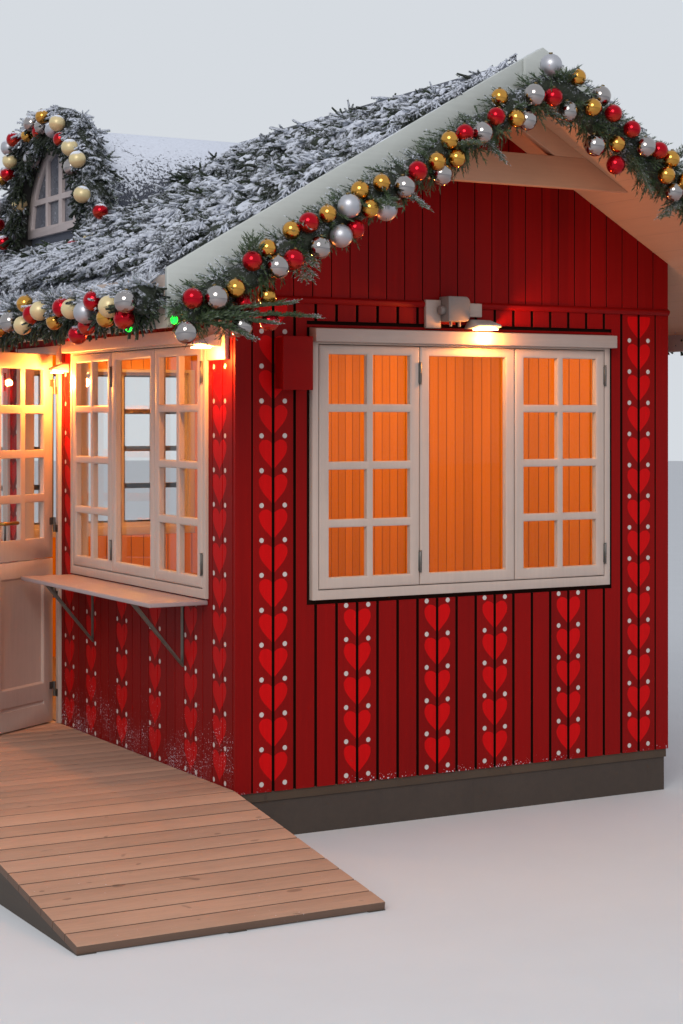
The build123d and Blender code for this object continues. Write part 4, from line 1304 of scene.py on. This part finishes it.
def twig(start, end, sag, rng):
    """Places of sprigs along a drooping branch: pairs to both sides and one at the tip."""
    run, spacing = end - start, 0.022
    pairs = max(2, round(run.length / spacing))
    across = run.cross(UP).normalized()
    places = []
    for i in range(pairs):
        share = (i + 0.3) / pairs
        ahead = (run + Vector((0, 0, -2 * sag * share))).normalized()
        point = start + run * share + Vector((0, 0, -sag * share * share))
        for way in (-1, 1):
            along = ahead + across * way * rng.uniform(0.45, 0.7) + Vector(rng.normal(0, 0.08, 3))
            places.append(aimed(point, along, UP, 1.2 - 0.5 * share))
    places.append(aimed(start + run * 0.9 + Vector((0, 0, -sag * 0.8)), ahead, UP, 0.8))
    return places


def holder_at(place):
    """An empty object at a place, which a modifier takes its axes from."""
    holder = added("holder", None)
    holder.matrix_world = place
    bpy.context.view_layer.update()
    return holder


def lumpy(bed, amount, grain, depth=2, stretch=None):
    """Lumps in a bed from a clouds texture, drawn out along one direction if a stretched place is given."""
    texture = bpy.data.textures.new("lumps", "CLOUDS")
    texture.noise_scale = grain
    texture.noise_depth = depth
    settings = {"texture": texture, "texture_coords": "LOCAL", "strength": amount, "mid_level": 0.5}
    if stretch is None:
        apply_modifier(bed, "DISPLACE", **settings)
    else:
        holder = holder_at(stretch)
        settings.update(texture_coords="OBJECT", texture_coords_object=holder)
        apply_modifier(bed, "DISPLACE", **settings)
        bpy.data.objects.remove(holder)
    bpy.data.textures.remove(texture)
    return bed


def slope_place(way):
    """The top of a roof slope: local x runs down it from the ridge, local z stands off it."""
    down = Vector((way * math.cos(PITCH), 0, -math.sin(PITCH)))
    out = Vector((way * math.sin(PITCH), 0, math.cos(PITCH)))
    place = Matrix((down, out.cross(down), out)).transposed().to_4x4()
    place.translation = Vector((0, 0, ROOF_HIGH.z))
    return place


def heights(obj, out):
    """How far each point of a mesh lies in one direction."""
    return read(obj.data.vertices, "co", float, 3).reshape(-1, 3) @ np.array(out)


def bough_bed(way, half):
    """The boughs on half a slope: ridged courses with streaks down the slope and lumps worked in."""
    bed = copy_of("branch_cover", "bed")
    cut_plane(bed, (0, 0, 0), (-way, 0, 0))
    cut_plane(bed, (0, 0, 0), (0, -half, 0))
    apply_modifier(bed, "REMESH", mode="VOXEL", voxel_size=0.026)
    apply_modifier(bed, "DISPLACE", strength=-0.018, mid_level=0.0)
    place = slope_place(way)
    out = place.to_3x3() @ UP
    select_faces(bed, lambda face: face.normal.dot(out) < -0.2)
    bpy.ops.mesh.delete(type="FACE")
    done_editing()
    before = heights(bed, out)
    lumpy(bed, 0.055, 0.055, 1, place @ Matrix.Diagonal((3.2, 1, 1, 1)))
    lumpy(bed, 0.03, 0.035)
    # Frost follows the lumps' height: snow on the raised parts, the bed's painted shade in the hollows
    level = np.clip(0.5 + (heights(bed, out) - before) / 0.03, 0, 1)
    layer = bed.data.attributes.new("frost", "FLOAT", "POINT")
    layer.data.foreach_set("value", level.astype(np.float32))
    return finish_as(smooth(bed), "bed")


def tube_bed(start, end):
    """A lumpy roll of branches from one point to another."""
    radius, ring = 0.058, 0.05
    count = max(3, round((end - start).length / ring))
    step = (end - start).length / count
    bpy.ops.mesh.primitive_cylinder_add(
        vertices=12, radius=radius, depth=step, end_fill_type="NOTHING", location=(0, 0, step / 2)
    )
    bed = row_of(settle(named("bed")), count, (0, 0, step), use_merge_vertices=True, merge_threshold=0.001)
    select_edges(bed, lambda a, b: max(a.z, b.z) < 0.001 or min(a.z, b.z) > count * step - 0.001)
    bpy.ops.mesh.edge_face_add()
    done_editing()
    lumpy(bed, 0.03, 0.09)
    put(bed, Matrix.Translation(start) @ (end - start).to_track_quat("Z", "Y").to_matrix().to_4x4())
    return bedded(bed, 0.3)


def dormer_ring():
    """Middle of the dormer's garland, the radius of its ring and the angle to which its ends go below."""
    low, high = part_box("dormer_garland")
    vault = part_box("dormer_roof")[1]
    axis = vault.z - vault.y
    centre = Vector(((low.x + high.x) / 2, 0, axis))
    return centre, (vault.y + high.z - axis) / 2, 0.15


def ring_bed():
    """A lumpy half ring of branches round the front of the dormer."""
    centre, reach, below = dormer_ring()
    bpy.ops.mesh.primitive_circle_add(
        vertices=12,
        radius=0.05,
        location=centre + Vector((0, math.cos(below), -math.sin(below))) * reach,
        rotation=(-below, 0, 0),
    )
    bed = named("bed")
    bed.scale = (1.4, 1, 1)
    settle(bed)
    holder = holder_at(Matrix.Translation(centre))
    turn = {"object": holder, "axis": "X", "angle": math.pi + 2 * below, "use_normal_flip": True}
    apply_modifier(bed, "SCREW", steps=40, render_steps=40, **turn)
    bpy.data.objects.remove(holder)
    return bedded(lumpy(bed, 0.03, 0.09), 0.45)


def garland_lines():
    """Kind, start and end of each straight garland's axis, from the solids that they stand for."""
    low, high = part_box("eave_garlands")
    radius = (high.z - low.z) / 2
    lines = []
    for side in (-1, 1):
        x = side * (high.x - radius)
        lines.append(("eave", Vector((x, low.y, low.z + radius)), Vector((x, high.y, low.z + radius))))
    low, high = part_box("gable_garlands")
    tilt = math.asin((high.x + ROOF_LOW.x) / radius)
    for front in (-1, 1):
        y = front * (high.y - radius)
        top = Vector((0, y, high.z - radius / math.cos(tilt)))
        for side in (-1, 1):
            foot = Vector((-side * ROOF_LOW.x, y, low.z + radius * math.cos(tilt)))
            lines.append(("gable", foot, top))
    return lines


def slope_branches(shapes, lump):
    """Boughs on the four halves of the roof, with sprigs and cushions of snow on them."""
    size = sizes()
    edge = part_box("branch_cover")[1].y
    eave = -ROOF_LOW.x
    for seed, (way, half) in enumerate(((-1, -1), (-1, 1), (1, -1), (1, 1))):
        place = slope_place(way)
        down = place.to_3x3() @ Vector((1, 0, 0))
        bed = bough_bed(way, half)
        area = sum(face.area for face in bed.data.polygons)

        def lay(density, lift, turn, frost, seed):
            return strewn(bed, round(area * density), lambda p, n: down, lift, turn, frost, seed)

        # Sprigs in the bed's hollows carry less frost, partly for painted shade there
        places, marks = lay(size.slope_sprigs, (0.0, 0.4), 0.30, lambda level, n: 0.25 + 0.75 * level, seed)
        rng = np.random.default_rng(50 + seed)
        # Sprigs over the gable's edge
        edge_sprigs = 60
        for _ in range(edge_sprigs):
            run = rng.uniform(0.05, eave) / math.cos(PITCH)
            start = place @ Vector((run, 0, 0.05))
            start.y = half * (edge - rng.uniform(0.0, 0.03))
            along = down * rng.uniform(0.2, 0.9)
            along += Vector((0, half * rng.uniform(0.2, 0.6), -rng.uniform(0.1, 0.5)))
            places.append(aimed(start, along, UP, rng.uniform(0.6, 0.95)))
            marks.append(rng.uniform(0.6, 1.1))
        # Twigs that hang over the eave
        twigs = 11
        for i in range(twigs):
            y = half * (0.15 + (edge - 0.25) * (i + rng.uniform(0.1, 0.9)) / twigs)
            start = Vector((way * (eave - 0.22), y, 0))
            start.z = ROOF_HIGH.z - abs(start.x) * SLOPE + 0.09
            reach = (way * rng.uniform(0.28, 0.36), rng.uniform(-0.14, 0.06), -rng.uniform(0.10, 0.16))
            new = twig(start, start + Vector(reach), 0.05, rng)
            places += new
            marks += [0.8] * len(new)
        cover = repeated("sprigs", shapes, places, marks)
        places, marks = lay(size.slope_lumps, (-0.1, 0.1), 0.4, lambda level, n: 1.0, 90 + seed)
        snow = repeated("snow", [lump], [p @ Matrix.Translation((0, 0, 0.022)) for p in places], marks)
        name = f"roof_branches_{'left' if way < 0 else 'right'}_{'near' if half < 0 else 'far'}"
        piece = join(name, [cover, bed, snow])
        place_on(piece, "hut", "fir_needles", *(["branch_cover"] if seed == 0 else []))


# Twigs at the foot of a gable's garland: how far they reach outwards, how far they rise and how they sag
CORNER_TWIGS = [(0.50, 0.07, 0.05), (0.40, 0.10, 0.03), (0.32, 0.03, 0.04), (0.22, -0.02, 0.04)]


def straight_garlands(shapes_of):
    """Garlands along the gables and the eaves, with loose twigs and a bush at each corner."""
    counts = {"gable": 0, "eave": 0}
    for number, (kind, start, end) in enumerate(garland_lines()):
        rng = np.random.default_rng(120 + number)
        run = (end - start).length
        front = math.copysign(1, start.y)
        side = math.copysign(1, start.x)
        bed = tube_bed(start, end)
        if kind == "gable":
            down = (start - end).normalized()
            lift, low_frost, high_frost = (0.1, 0.9), 0.30, 0.42
            flow = lambda p, n: down + n * 0.6
        else:
            lift, low_frost, high_frost = (0.1, 0.8), 0.52, 0.40
            flow = lambda p, n: Vector((side * 0.3, -0.4, -0.5)) + n * 0.5
        sprigs = round(run * sizes().garland_sprigs)
        frost = lambda level, n: low_frost + high_frost * n.z
        places, marks = strewn(bed, sprigs, flow, lift, 0.3, frost, 20 + number)
        if kind == "gable":
            twigs = round(run * 4)
            for i in range(twigs):
                root = start + (end - start) * (i + rng.uniform(0.1, 0.9)) / twigs
                inward, ahead = -side * rng.uniform(-0.4, 1.0), front * rng.uniform(0.1, 0.8)
                aim = Vector((inward, ahead, rng.uniform(-1.0, 1.0))).normalized()
                new = twig(root, root + aim * rng.uniform(0.13, 0.19), 0.02, rng)
                places += new
                marks += [0.35 + 0.3 * rng.uniform()] * len(new)
            root = start + Vector((0, front * 0.03, -0.02))
            for reach, rise, sag in CORNER_TWIGS:
                new = twig(root, root + Vector((-side * reach, front * 0.06, rise)), sag, rng)
                places += new
                marks += [0.35] * (len(new) - 5) + [0.6] * 5
        counts[kind] += 1
        sprigs = repeated("sprigs", shapes_of[kind], places, marks)
        piece = join(f"{kind}_garland_{counts[kind]}", [sprigs, bed])
        place_on(piece, "hut", "fir_needles", kind + "_garlands")


def ring_garland(shapes):
    """The garland round the front of the dormer."""
    centre, reach, _ = dormer_ring()
    bed = ring_bed()

    def around(point, normal):
        arm = point - centre
        return Vector((-0.2, arm.y * 0.8, -0.5)) + normal * 0.35

    count = round(math.pi * reach * sizes().garland_sprigs * 1.25)
    places, marks = strewn(bed, count, around, (0.0, 0.4), 0.3, lambda level, n: 0.62 + 0.35 * n.z, 40)
    # Sprigs over the hood's front edge
    rng = np.random.default_rng(41)
    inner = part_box("dormer_window")[1].y
    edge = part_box("dormer_roof")[0].x
    hood_sprigs = 300
    for _ in range(hood_sprigs):
        angle = math.pi * rng.uniform(-0.06, 1.06)
        arm = Vector((0, math.cos(angle), math.sin(angle)))
        root = centre + arm * (inner + rng.uniform(-0.01, 0.04))
        root.x = edge + rng.uniform(-0.02, 0.05)
        along = Vector((-0.3, 0, -0.4)) - arm * rng.uniform(0.2, 0.9) + Vector(rng.normal(0, 0.3, 3))
        places.append(aimed(root, along, Vector((-1, 0, 0)), rng.uniform(0.8, 1.1)))
        marks.append(rng.uniform(0.1, 0.5))
    piece = join("dormer_garland_dressed", [repeated("sprigs", shapes, places, marks), bed])
    place_on(piece, "hut", "fir_needles", "dormer_garland")


def branch_pieces():
    laden = [sprig("laden_sprig", seed, 10, laden=True) for seed in (3, 5, 8)]
    full = [sprig("full_sprig", seed, 24) for seed in (4, 6, 9)]
    lump = snow_lump()
    slope_branches(laden, lump)
    straight_garlands({"gable": full, "eave": laden})
    ring_garland(laden)
    for shape in laden + full + [lump]:
        remove(shape)


# Glass balls and bulbs


def glass_ball():
    """A blown ball and its ribbed cap."""
    radius = sizes().ball_radius
    bpy.ops.mesh.primitive_uv_sphere_add(segments=16, ring_count=10, radius=radius)
    # The frost attribute runs from -1 at the bottom to 1 at the top; its lower half drives the painted
    # reflection
    ball = set_frost(smooth(named("ball")), lambda co: co.z / radius)
    cap = rod("cap", (0, 0, radius * 0.95), (0, 0, radius * 1.11), radius * 0.17, 8)
    return ball, finish_as(set_frost(cap, lambda co: 0.4), "cap")


# Balls of a gable: distance from its middle, drop below the garland's axis, finish
GABLE_BALLS = [
    (1.71, -0.06, "red"), (1.74, 0.05, "silver"), (1.62, -0.01, "silver"), (1.54, 0.00, "gold"),
    (1.48, 0.09, "red"), (1.38, 0.12, "gold"), (1.49, 0.17, "silver"), (1.37, 0.22, "red"),
    (1.36, 0.02, "silver"), (1.29, 0.03, "red"), (1.28, -0.08, "gold"), (1.39, -0.07, "gold"),
    (1.46, -0.06, "red"), (1.17, 0.05, "silver"), (1.21, -0.07, "red"), (1.13, -0.06, "gold"),
    (1.04, -0.04, "satin"), (1.07, 0.06, "satin"), (0.98, -0.07, "gold"), (1.00, 0.07, "red"),
    (0.95, 0.02, "gold"), (0.89, -0.05, "gold"), (0.86, 0.07, "satin"), (0.79, 0.02, "silver"),
    (0.73, -0.01, "red"), (0.64, 0.00, "gold"), (0.60, 0.07, "silver"), (0.54, 0.04, "gold"),
    (0.57, -0.05, "gold"), (0.50, -0.04, "red"), (0.42, 0.00, "silver"), (0.35, -0.03, "red"),
]
# Balls at the peak: place across the gable, drop below the garland's axis, finish
PEAK_BALLS = [
    (-0.25, 0.03, "gold"), (-0.18, 0.07, "silver"), (-0.30, -0.09, "gold"), (-0.16, -0.02, "silver"),
    (-0.06, 0.04, "red"), (-0.04, -0.09, "satin"), (0.08, -0.07, "gold"), (0.05, 0.09, "silver"),
    (0.14, 0.02, "gold"), (0.22, -0.09, "silver"), (0.25, -0.03, "red"), (0.19, 0.14, "silver"),
    (0.29, 0.07, "gold"), (0.30, 0.15, "red"),
]
# Balls of an eave, repeated along it: distance from the gable end, drop below the axis, finish
EAVE_BALLS = [
    (0.04, 0.01, "silver"), (0.12, 0.07, "red"), (0.20, 0.02, "cream"), (0.28, 0.06, "gold"),
    (0.36, -0.01, "red"), (0.46, 0.03, "satin"), (0.53, 0.08, "red"), (0.60, 0.01, "cream"),
    (0.70, 0.00, "red"), (0.66, 0.11, "red"), (0.82, 0.05, "gold"), (0.96, 0.00, "cream"), (1.05, 0.01, "red"),
    (1.16, -0.04, "gold"), (1.20, 0.05, "cream"), (1.34, 0.03, "silver"), (1.50, 0.05, "gold"),
    (1.66, 0.07, "cream"), (1.68, -0.03, "gold"), (1.80, 0.02, "satin"),
]
# Balls of the dormer: degrees round its arch from the far side, radius, finish
DORMER_BALLS = [
    (58, 0.62, "red"), (73, 0.55, "gold"), (88, 0.53, "red"), (97, 0.55, "silver"), (116, 0.56, "satin"),
    (128, 0.56, "red"), (143, 0.63, "cream"), (152, 0.66, "cream"), (146, 0.52, "silver"), (132, 0.49, "gold"),
    (46, 0.58, "cream"), (57, 0.50, "satin"), (38, 0.57, "red"), (32, 0.63, "gold"), (16, 0.66, "satin"),
    (22, 0.50, "cream"), (-2, 0.55, "red"), (169, 0.66, "cream"), (177, 0.72, "red"), (189, 0.70, "cream"),
    (193, 0.57, "red"), (48, 0.67, "satin"), (84, 0.58, "silver"), (101, 0.60, "gold"), (122, 0.62, "cream"),
    (8, 0.60, "red"),
]
BALL_SIZES = {"gold": 0.94, "silver": 1.14, "red": 1.0, "satin": 1.18, "cream": 1.08}


def ball_spots():
    """Garland, place and finish of every ball, on the surface of its garland."""
    spots = []
    reach, least = 0.098, 0.045

    def stand(drop):
        return math.sqrt(max(least**2, reach**2 - drop**2))

    for kind, start, end in garland_lines():
        front = math.copysign(1, start.y)
        side = math.copysign(1, start.x)
        if kind == "gable":
            places = [(side * across, drop, name) for across, drop, name in GABLE_BALLS]
            places += [entry for entry in PEAK_BALLS if entry[0] * side > 0]
            rise = (end.z - start.z) / abs(start.x)
            for x, drop, name in places:
                place = Vector((x, start.y + front * stand(drop), end.z - abs(x) * rise - drop))
                spots.append((kind, place, name))
        else:
            span, rows = 1.92, 3
            for row in range(rows):
                for along, drop, name in EAVE_BALLS:
                    y = start.y - 0.06 + along + row * span
                    place = Vector((start.x + side * stand(drop), y, start.z - drop))
                    if y < end.y:
                        spots.append((kind, place, name))
    centre, middle, _ = dormer_ring()
    for degrees, radius, name in DORMER_BALLS:
        arm = Vector((0, math.cos(math.radians(degrees)), math.sin(math.radians(degrees))))
        ahead = math.sqrt(max(0.02**2, 0.115**2 - (radius - middle) ** 2))
        spots.append(("dormer", centre + arm * radius - Vector((ahead, 0, 0)), name))
    return spots


def ball_pieces():
    rng = np.random.default_rng(77)
    ball, cap = glass_ball()
    groups, caps = {}, []
    for kind, point, name in ball_spots():
        place = Matrix.Translation(point)
        for letter in "XY":
            place = place @ Matrix.Rotation(rng.uniform(-0.3, 0.3), 4, letter)
        place = place @ Matrix.Scale(BALL_SIZES[name] * rng.uniform(0.95, 1.05), 4)
        frost = {"gable": 0.55, "eave": 0.85, "dormer": 1.1}[kind] + rng.uniform(-0.2, 0.2)
        groups.setdefault(name, []).append((place, frost))
        caps.append(place)
    for name, entries in groups.items():
        finish_as(ball, "ball_" + name)
        place_on(smooth(repeated("balls_" + name, [ball], *zip(*entries))), "hut", "fir_needles")
    place_on(repeated("ball_caps", [cap], caps), "hut", "lock_brass")
    remove(ball)
    remove(cap)
    bulb_pieces()


# Bulbs under an eave's ends: distance from its end, distance towards the wall, drop, finish
BULBS = [
    (-0.09, 0.073, 0.077, "green_bulb"),
    (-0.09, 0.143, 0.068, "amber_bulb"),
    (-0.13, 0.205, 0.058, "green_bulb"),
    (0.13, -0.02, 0.100, "green_bulb"),
    (0.62, -0.02, 0.100, "amber_bulb"),
]


def bulb_pieces():
    """Small coloured bulbs with their sockets under each end of the left eave garland."""
    _, start, end = garland_lines()[0]
    lights = []
    for mirror in (-1, 1):
        for inward, right, drop, key in BULBS:
            x, y, z = start.x + right, mirror * (end.y - inward), start.z - drop
            bpy.ops.mesh.primitive_uv_sphere_add(segments=12, ring_count=8, radius=0.014)
            light = named("bulb")
            light.location, light.scale = (x, y, z), (1, 1, 1.25)
            socket = rod("socket", (x, y, z + 0.012), (x, y, z + 0.04), 0.008, 10, 0.006)
            lights += [finish_as(smooth(settle(light)), key), finish_as(ease(socket, 0.001, 1), "joists")]
    place_on(join("fairy_bulbs", lights), "hut", "lamp_white")


# Stage

# Light of the room, and of each floodlight in the order of the lenses
ROOM_COLOUR = (1.0, 0.45, 0.07)
ROOM_SHAPE = {"shape": "RECTANGLE", "size": 1.2, "size_y": 0.9}
GLOW_COLOUR = (1.0, 0.34, 0.06)
GLOW_ENERGIES = (8.5, 11.0, 24.0)
# The key lamp and the point that it is turned to
KEY_PLACE = Vector((-9.0, -12.0, 9.0))
KEY_AIM = Vector((0, 0, 1.4))
# The camera, off the near corner at eye height, and the way it looks
VIEW_PLACE = (-4.704, -9.544, 1.80)
VIEW_ALONG = Vector((0.4909, 0.8712, 0))


def studio_lamp(name, kind, energy, light, place, **settings):
    """A lamp of one kind with its own settings, at a place."""
    lamp = bpy.data.lights.new(name, kind)
    lamp.energy, lamp.color = energy, light
    for key, value in settings.items():
        setattr(lamp, key, value)
    return added(name, lamp, place)


def studio_lamps():
    """The key lamp, three in the room and one under each floodlight, a little in front of its glass."""
    key = studio_lamp("key", "AREA", 900.0, (1.0, 0.97, 0.93), KEY_PLACE, shape="DISK", size=7.0)
    key.rotation_euler = (KEY_AIM - KEY_PLACE).to_track_quat("-Z", "Y").to_euler()
    for y in (-1.5, 0.0, 1.5):
        studio_lamp("room", "AREA", 27.0, ROOM_COLOUR, (0.1, y, 2.5), **ROOM_SHAPE)
    for (low, high), energy in zip(LENSES, GLOW_ENERGIES):
        place = (Vector(low) + Vector(high)) / 2 - Vector((0, 0.045, 0.05))
        studio_lamp("glow", "POINT", energy, GLOW_COLOUR, place, shadow_soft_size=0.02)


def backdrop():
    """A plain pale backdrop, which lights the scene more softly than it shows."""
    world = bpy.data.worlds.new("Studio")
    bpy.context.scene.world = world
    world.use_nodes = True
    sky = Tree(world.node_tree)
    output = next(n for n in sky.nodes if n.type == "OUTPUT_WORLD")
    rays = [f"Is {ray} Ray" for ray in ("Camera", "Glossy", "Transmission")]
    camera, glossy, transmission = (sky.node("ShaderNodeLightPath", output=ray) for ray in rays)
    shown = camera.most(glossy).most(transmission)
    light = sky.node("ShaderNodeBackground", None, {"Color": (0.86, 0.90, 0.98), "Strength": 0.72})
    seen = sky.node("ShaderNodeBackground", None, {"Color": tone(214, 219, 225), "Strength": 1.0})
    both = sky.node("ShaderNodeMixShader", None, {0: shown, 1: light, 2: seen})
    sky.links.new(both.socket, output.inputs["Surface"])


def stage_pieces():
    """A round pale floor, the backdrop, the lamps and the camera."""
    bpy.ops.mesh.primitive_circle_add(vertices=96, radius=70, fill_type="NGON", location=(0, 0, -0.0005))
    floor = settle(named("studio_floor"))
    paper = Finish("Studio floor", roughness=0.9)
    shade = paper.mix(paper.noise(3.0, 3.0), tone(206, 207, 209), tone(212, 213, 215))
    floor.data.materials.append(paper.done(shade))
    backdrop()
    studio_lamps()
    camera = bpy.data.cameras.new("camera")
    camera.lens, camera.sensor_width = 66.4, 36.0
    camera.shift_y = -0.0918
    camera.clip_end = 200.0
    view = added("camera", camera, VIEW_PLACE)
    view.rotation_euler = VIEW_ALONG.to_track_quat("-Z", "Y").to_euler()
    bpy.context.scene.camera = view
    bpy.context.scene.view_settings.view_transform = "Standard"


# Operators: one for each group of pieces, in the order they are made


class HUT_OT_stage(bpy.types.Operator):
    """Builds the floor, the light and the camera."""

    bl_idname = "hut.stage"
    bl_label = "Stage"

    def execute(self, context):
        stage_pieces()
        return {"FINISHED"}


class HUT_OT_finishes(bpy.types.Operator):
    """Mixes the paints, timbers, metals and glass."""

    bl_idname = "hut.finishes"
    bl_label = "Finishes"

    def execute(self, context):
        mix_finishes()
        return {"FINISHED"}


class HUT_OT_base(bpy.types.Operator):
    """Finishes the ground beams, the floor and the joists."""

    bl_idname = "hut.base"
    bl_label = "Base"

    def execute(self, context):
        base_pieces()
        return {"FINISHED"}


class HUT_OT_walls(bpy.types.Operator):
    """Boards the walls outside and lines them inside."""

    bl_idname = "hut.walls"
    bl_label = "Walls"

    def execute(self, context):
        clad_walls()
        return {"FINISHED"}


class HUT_OT_windows(bpy.types.Operator):
    """Dresses the casings, sashes and head boards and adds the hinges."""

    bl_idname = "hut.windows"
    bl_label = "Windows"

    def execute(self, context):
        window_pieces()
        return {"FINISHED"}


class HUT_OT_door(bpy.types.Operator):
    """Dresses the two-part door, its frame and its fittings."""

    bl_idname = "hut.door"
    bl_label = "Door"

    def execute(self, context):
        door_pieces()
        return {"FINISHED"}


class HUT_OT_roof(bpy.types.Operator):
    """Dresses the slopes, the trim boards and the gable trusses."""

    bl_idname = "hut.roof"
    bl_label = "Roof"

    def execute(self, context):
        roof_pieces()
        return {"FINISHED"}


class HUT_OT_dormer(bpy.types.Operator):
    """Dresses the barrel dormer and its arched window."""

    bl_idname = "hut.dormer"
    bl_label = "Dormer"

    def execute(self, context):
        dormer_pieces()
        return {"FINISHED"}


class HUT_OT_shelves(bpy.types.Operator):
    """Dresses the serving shelves and their brackets."""

    bl_idname = "hut.shelves"
    bl_label = "Shelves"

    def execute(self, context):
        shelf_pieces()
        return {"FINISHED"}


class HUT_OT_deck(bpy.types.Operator):
    """Boards the deck and the ramp."""

    bl_idname = "hut.deck"
    bl_label = "Deck"

    def execute(self, context):
        deck_pieces()
        return {"FINISHED"}


class HUT_OT_lamps(bpy.types.Operator):
    """Dresses the meter box and the floodlights and adds their lenses."""

    bl_idname = "hut.lamps"
    bl_label = "Lamps"

    def execute(self, context):
        lamp_pieces()
        return {"FINISHED"}


class HUT_OT_branches(bpy.types.Operator):
    """Lays fir branches on the roof and hangs the garlands."""

    bl_idname = "hut.branches"
    bl_label = "Branches"

    def execute(self, context):
        branch_pieces()
        return {"FINISHED"}


class HUT_OT_balls(bpy.types.Operator):
    """Hangs the glass balls and the small bulbs."""

    bl_idname = "hut.balls"
    bl_label = "Balls"

    def execute(self, context):
        ball_pieces()
        return {"FINISHED"}


OPERATORS = [
    HUT_OT_stage,
    HUT_OT_finishes,
    HUT_OT_base,
    HUT_OT_walls,
    HUT_OT_windows,
    HUT_OT_door,
    HUT_OT_roof,
    HUT_OT_dormer,
    HUT_OT_shelves,
    HUT_OT_deck,
    HUT_OT_lamps,
    HUT_OT_branches,
    HUT_OT_balls,
]


class HUT_PT_panel(bpy.types.Panel):
    """Lists the groups of pieces in the order they are made."""

    bl_idname = "HUT_PT_panel"
    bl_label = "Market Hut"
    bl_space_type = "VIEW_3D"
    bl_region_type = "UI"
    bl_category = "Market Hut"

    def draw(self, context):
        for made in OPERATORS:
            self.layout.operator(made.bl_idname)
        for group in (context.scene.hut_sizes, context.scene.hut_colours):
            box = self.layout.box()
            for key in group.__annotations__:
                box.prop(group, key)


CLASSES = [HutSizes, HutColours] + OPERATORS + [HUT_PT_panel]


def register():
    for made in CLASSES:
        bpy.utils.register_class(made)
    bpy.types.Scene.hut_sizes = PointerProperty(type=HutSizes)
    bpy.types.Scene.hut_colours = PointerProperty(type=HutColours)


def unregister():
    del bpy.types.Scene.hut_sizes
    del bpy.types.Scene.hut_colours
    for made in reversed(CLASSES):
        bpy.utils.unregister_class(made)


def main():
    register()
    for made in OPERATORS:
        group, name = made.bl_idname.split(".")
        getattr(getattr(bpy.ops, group), name)()


if __name__ == "__main__":
    main()
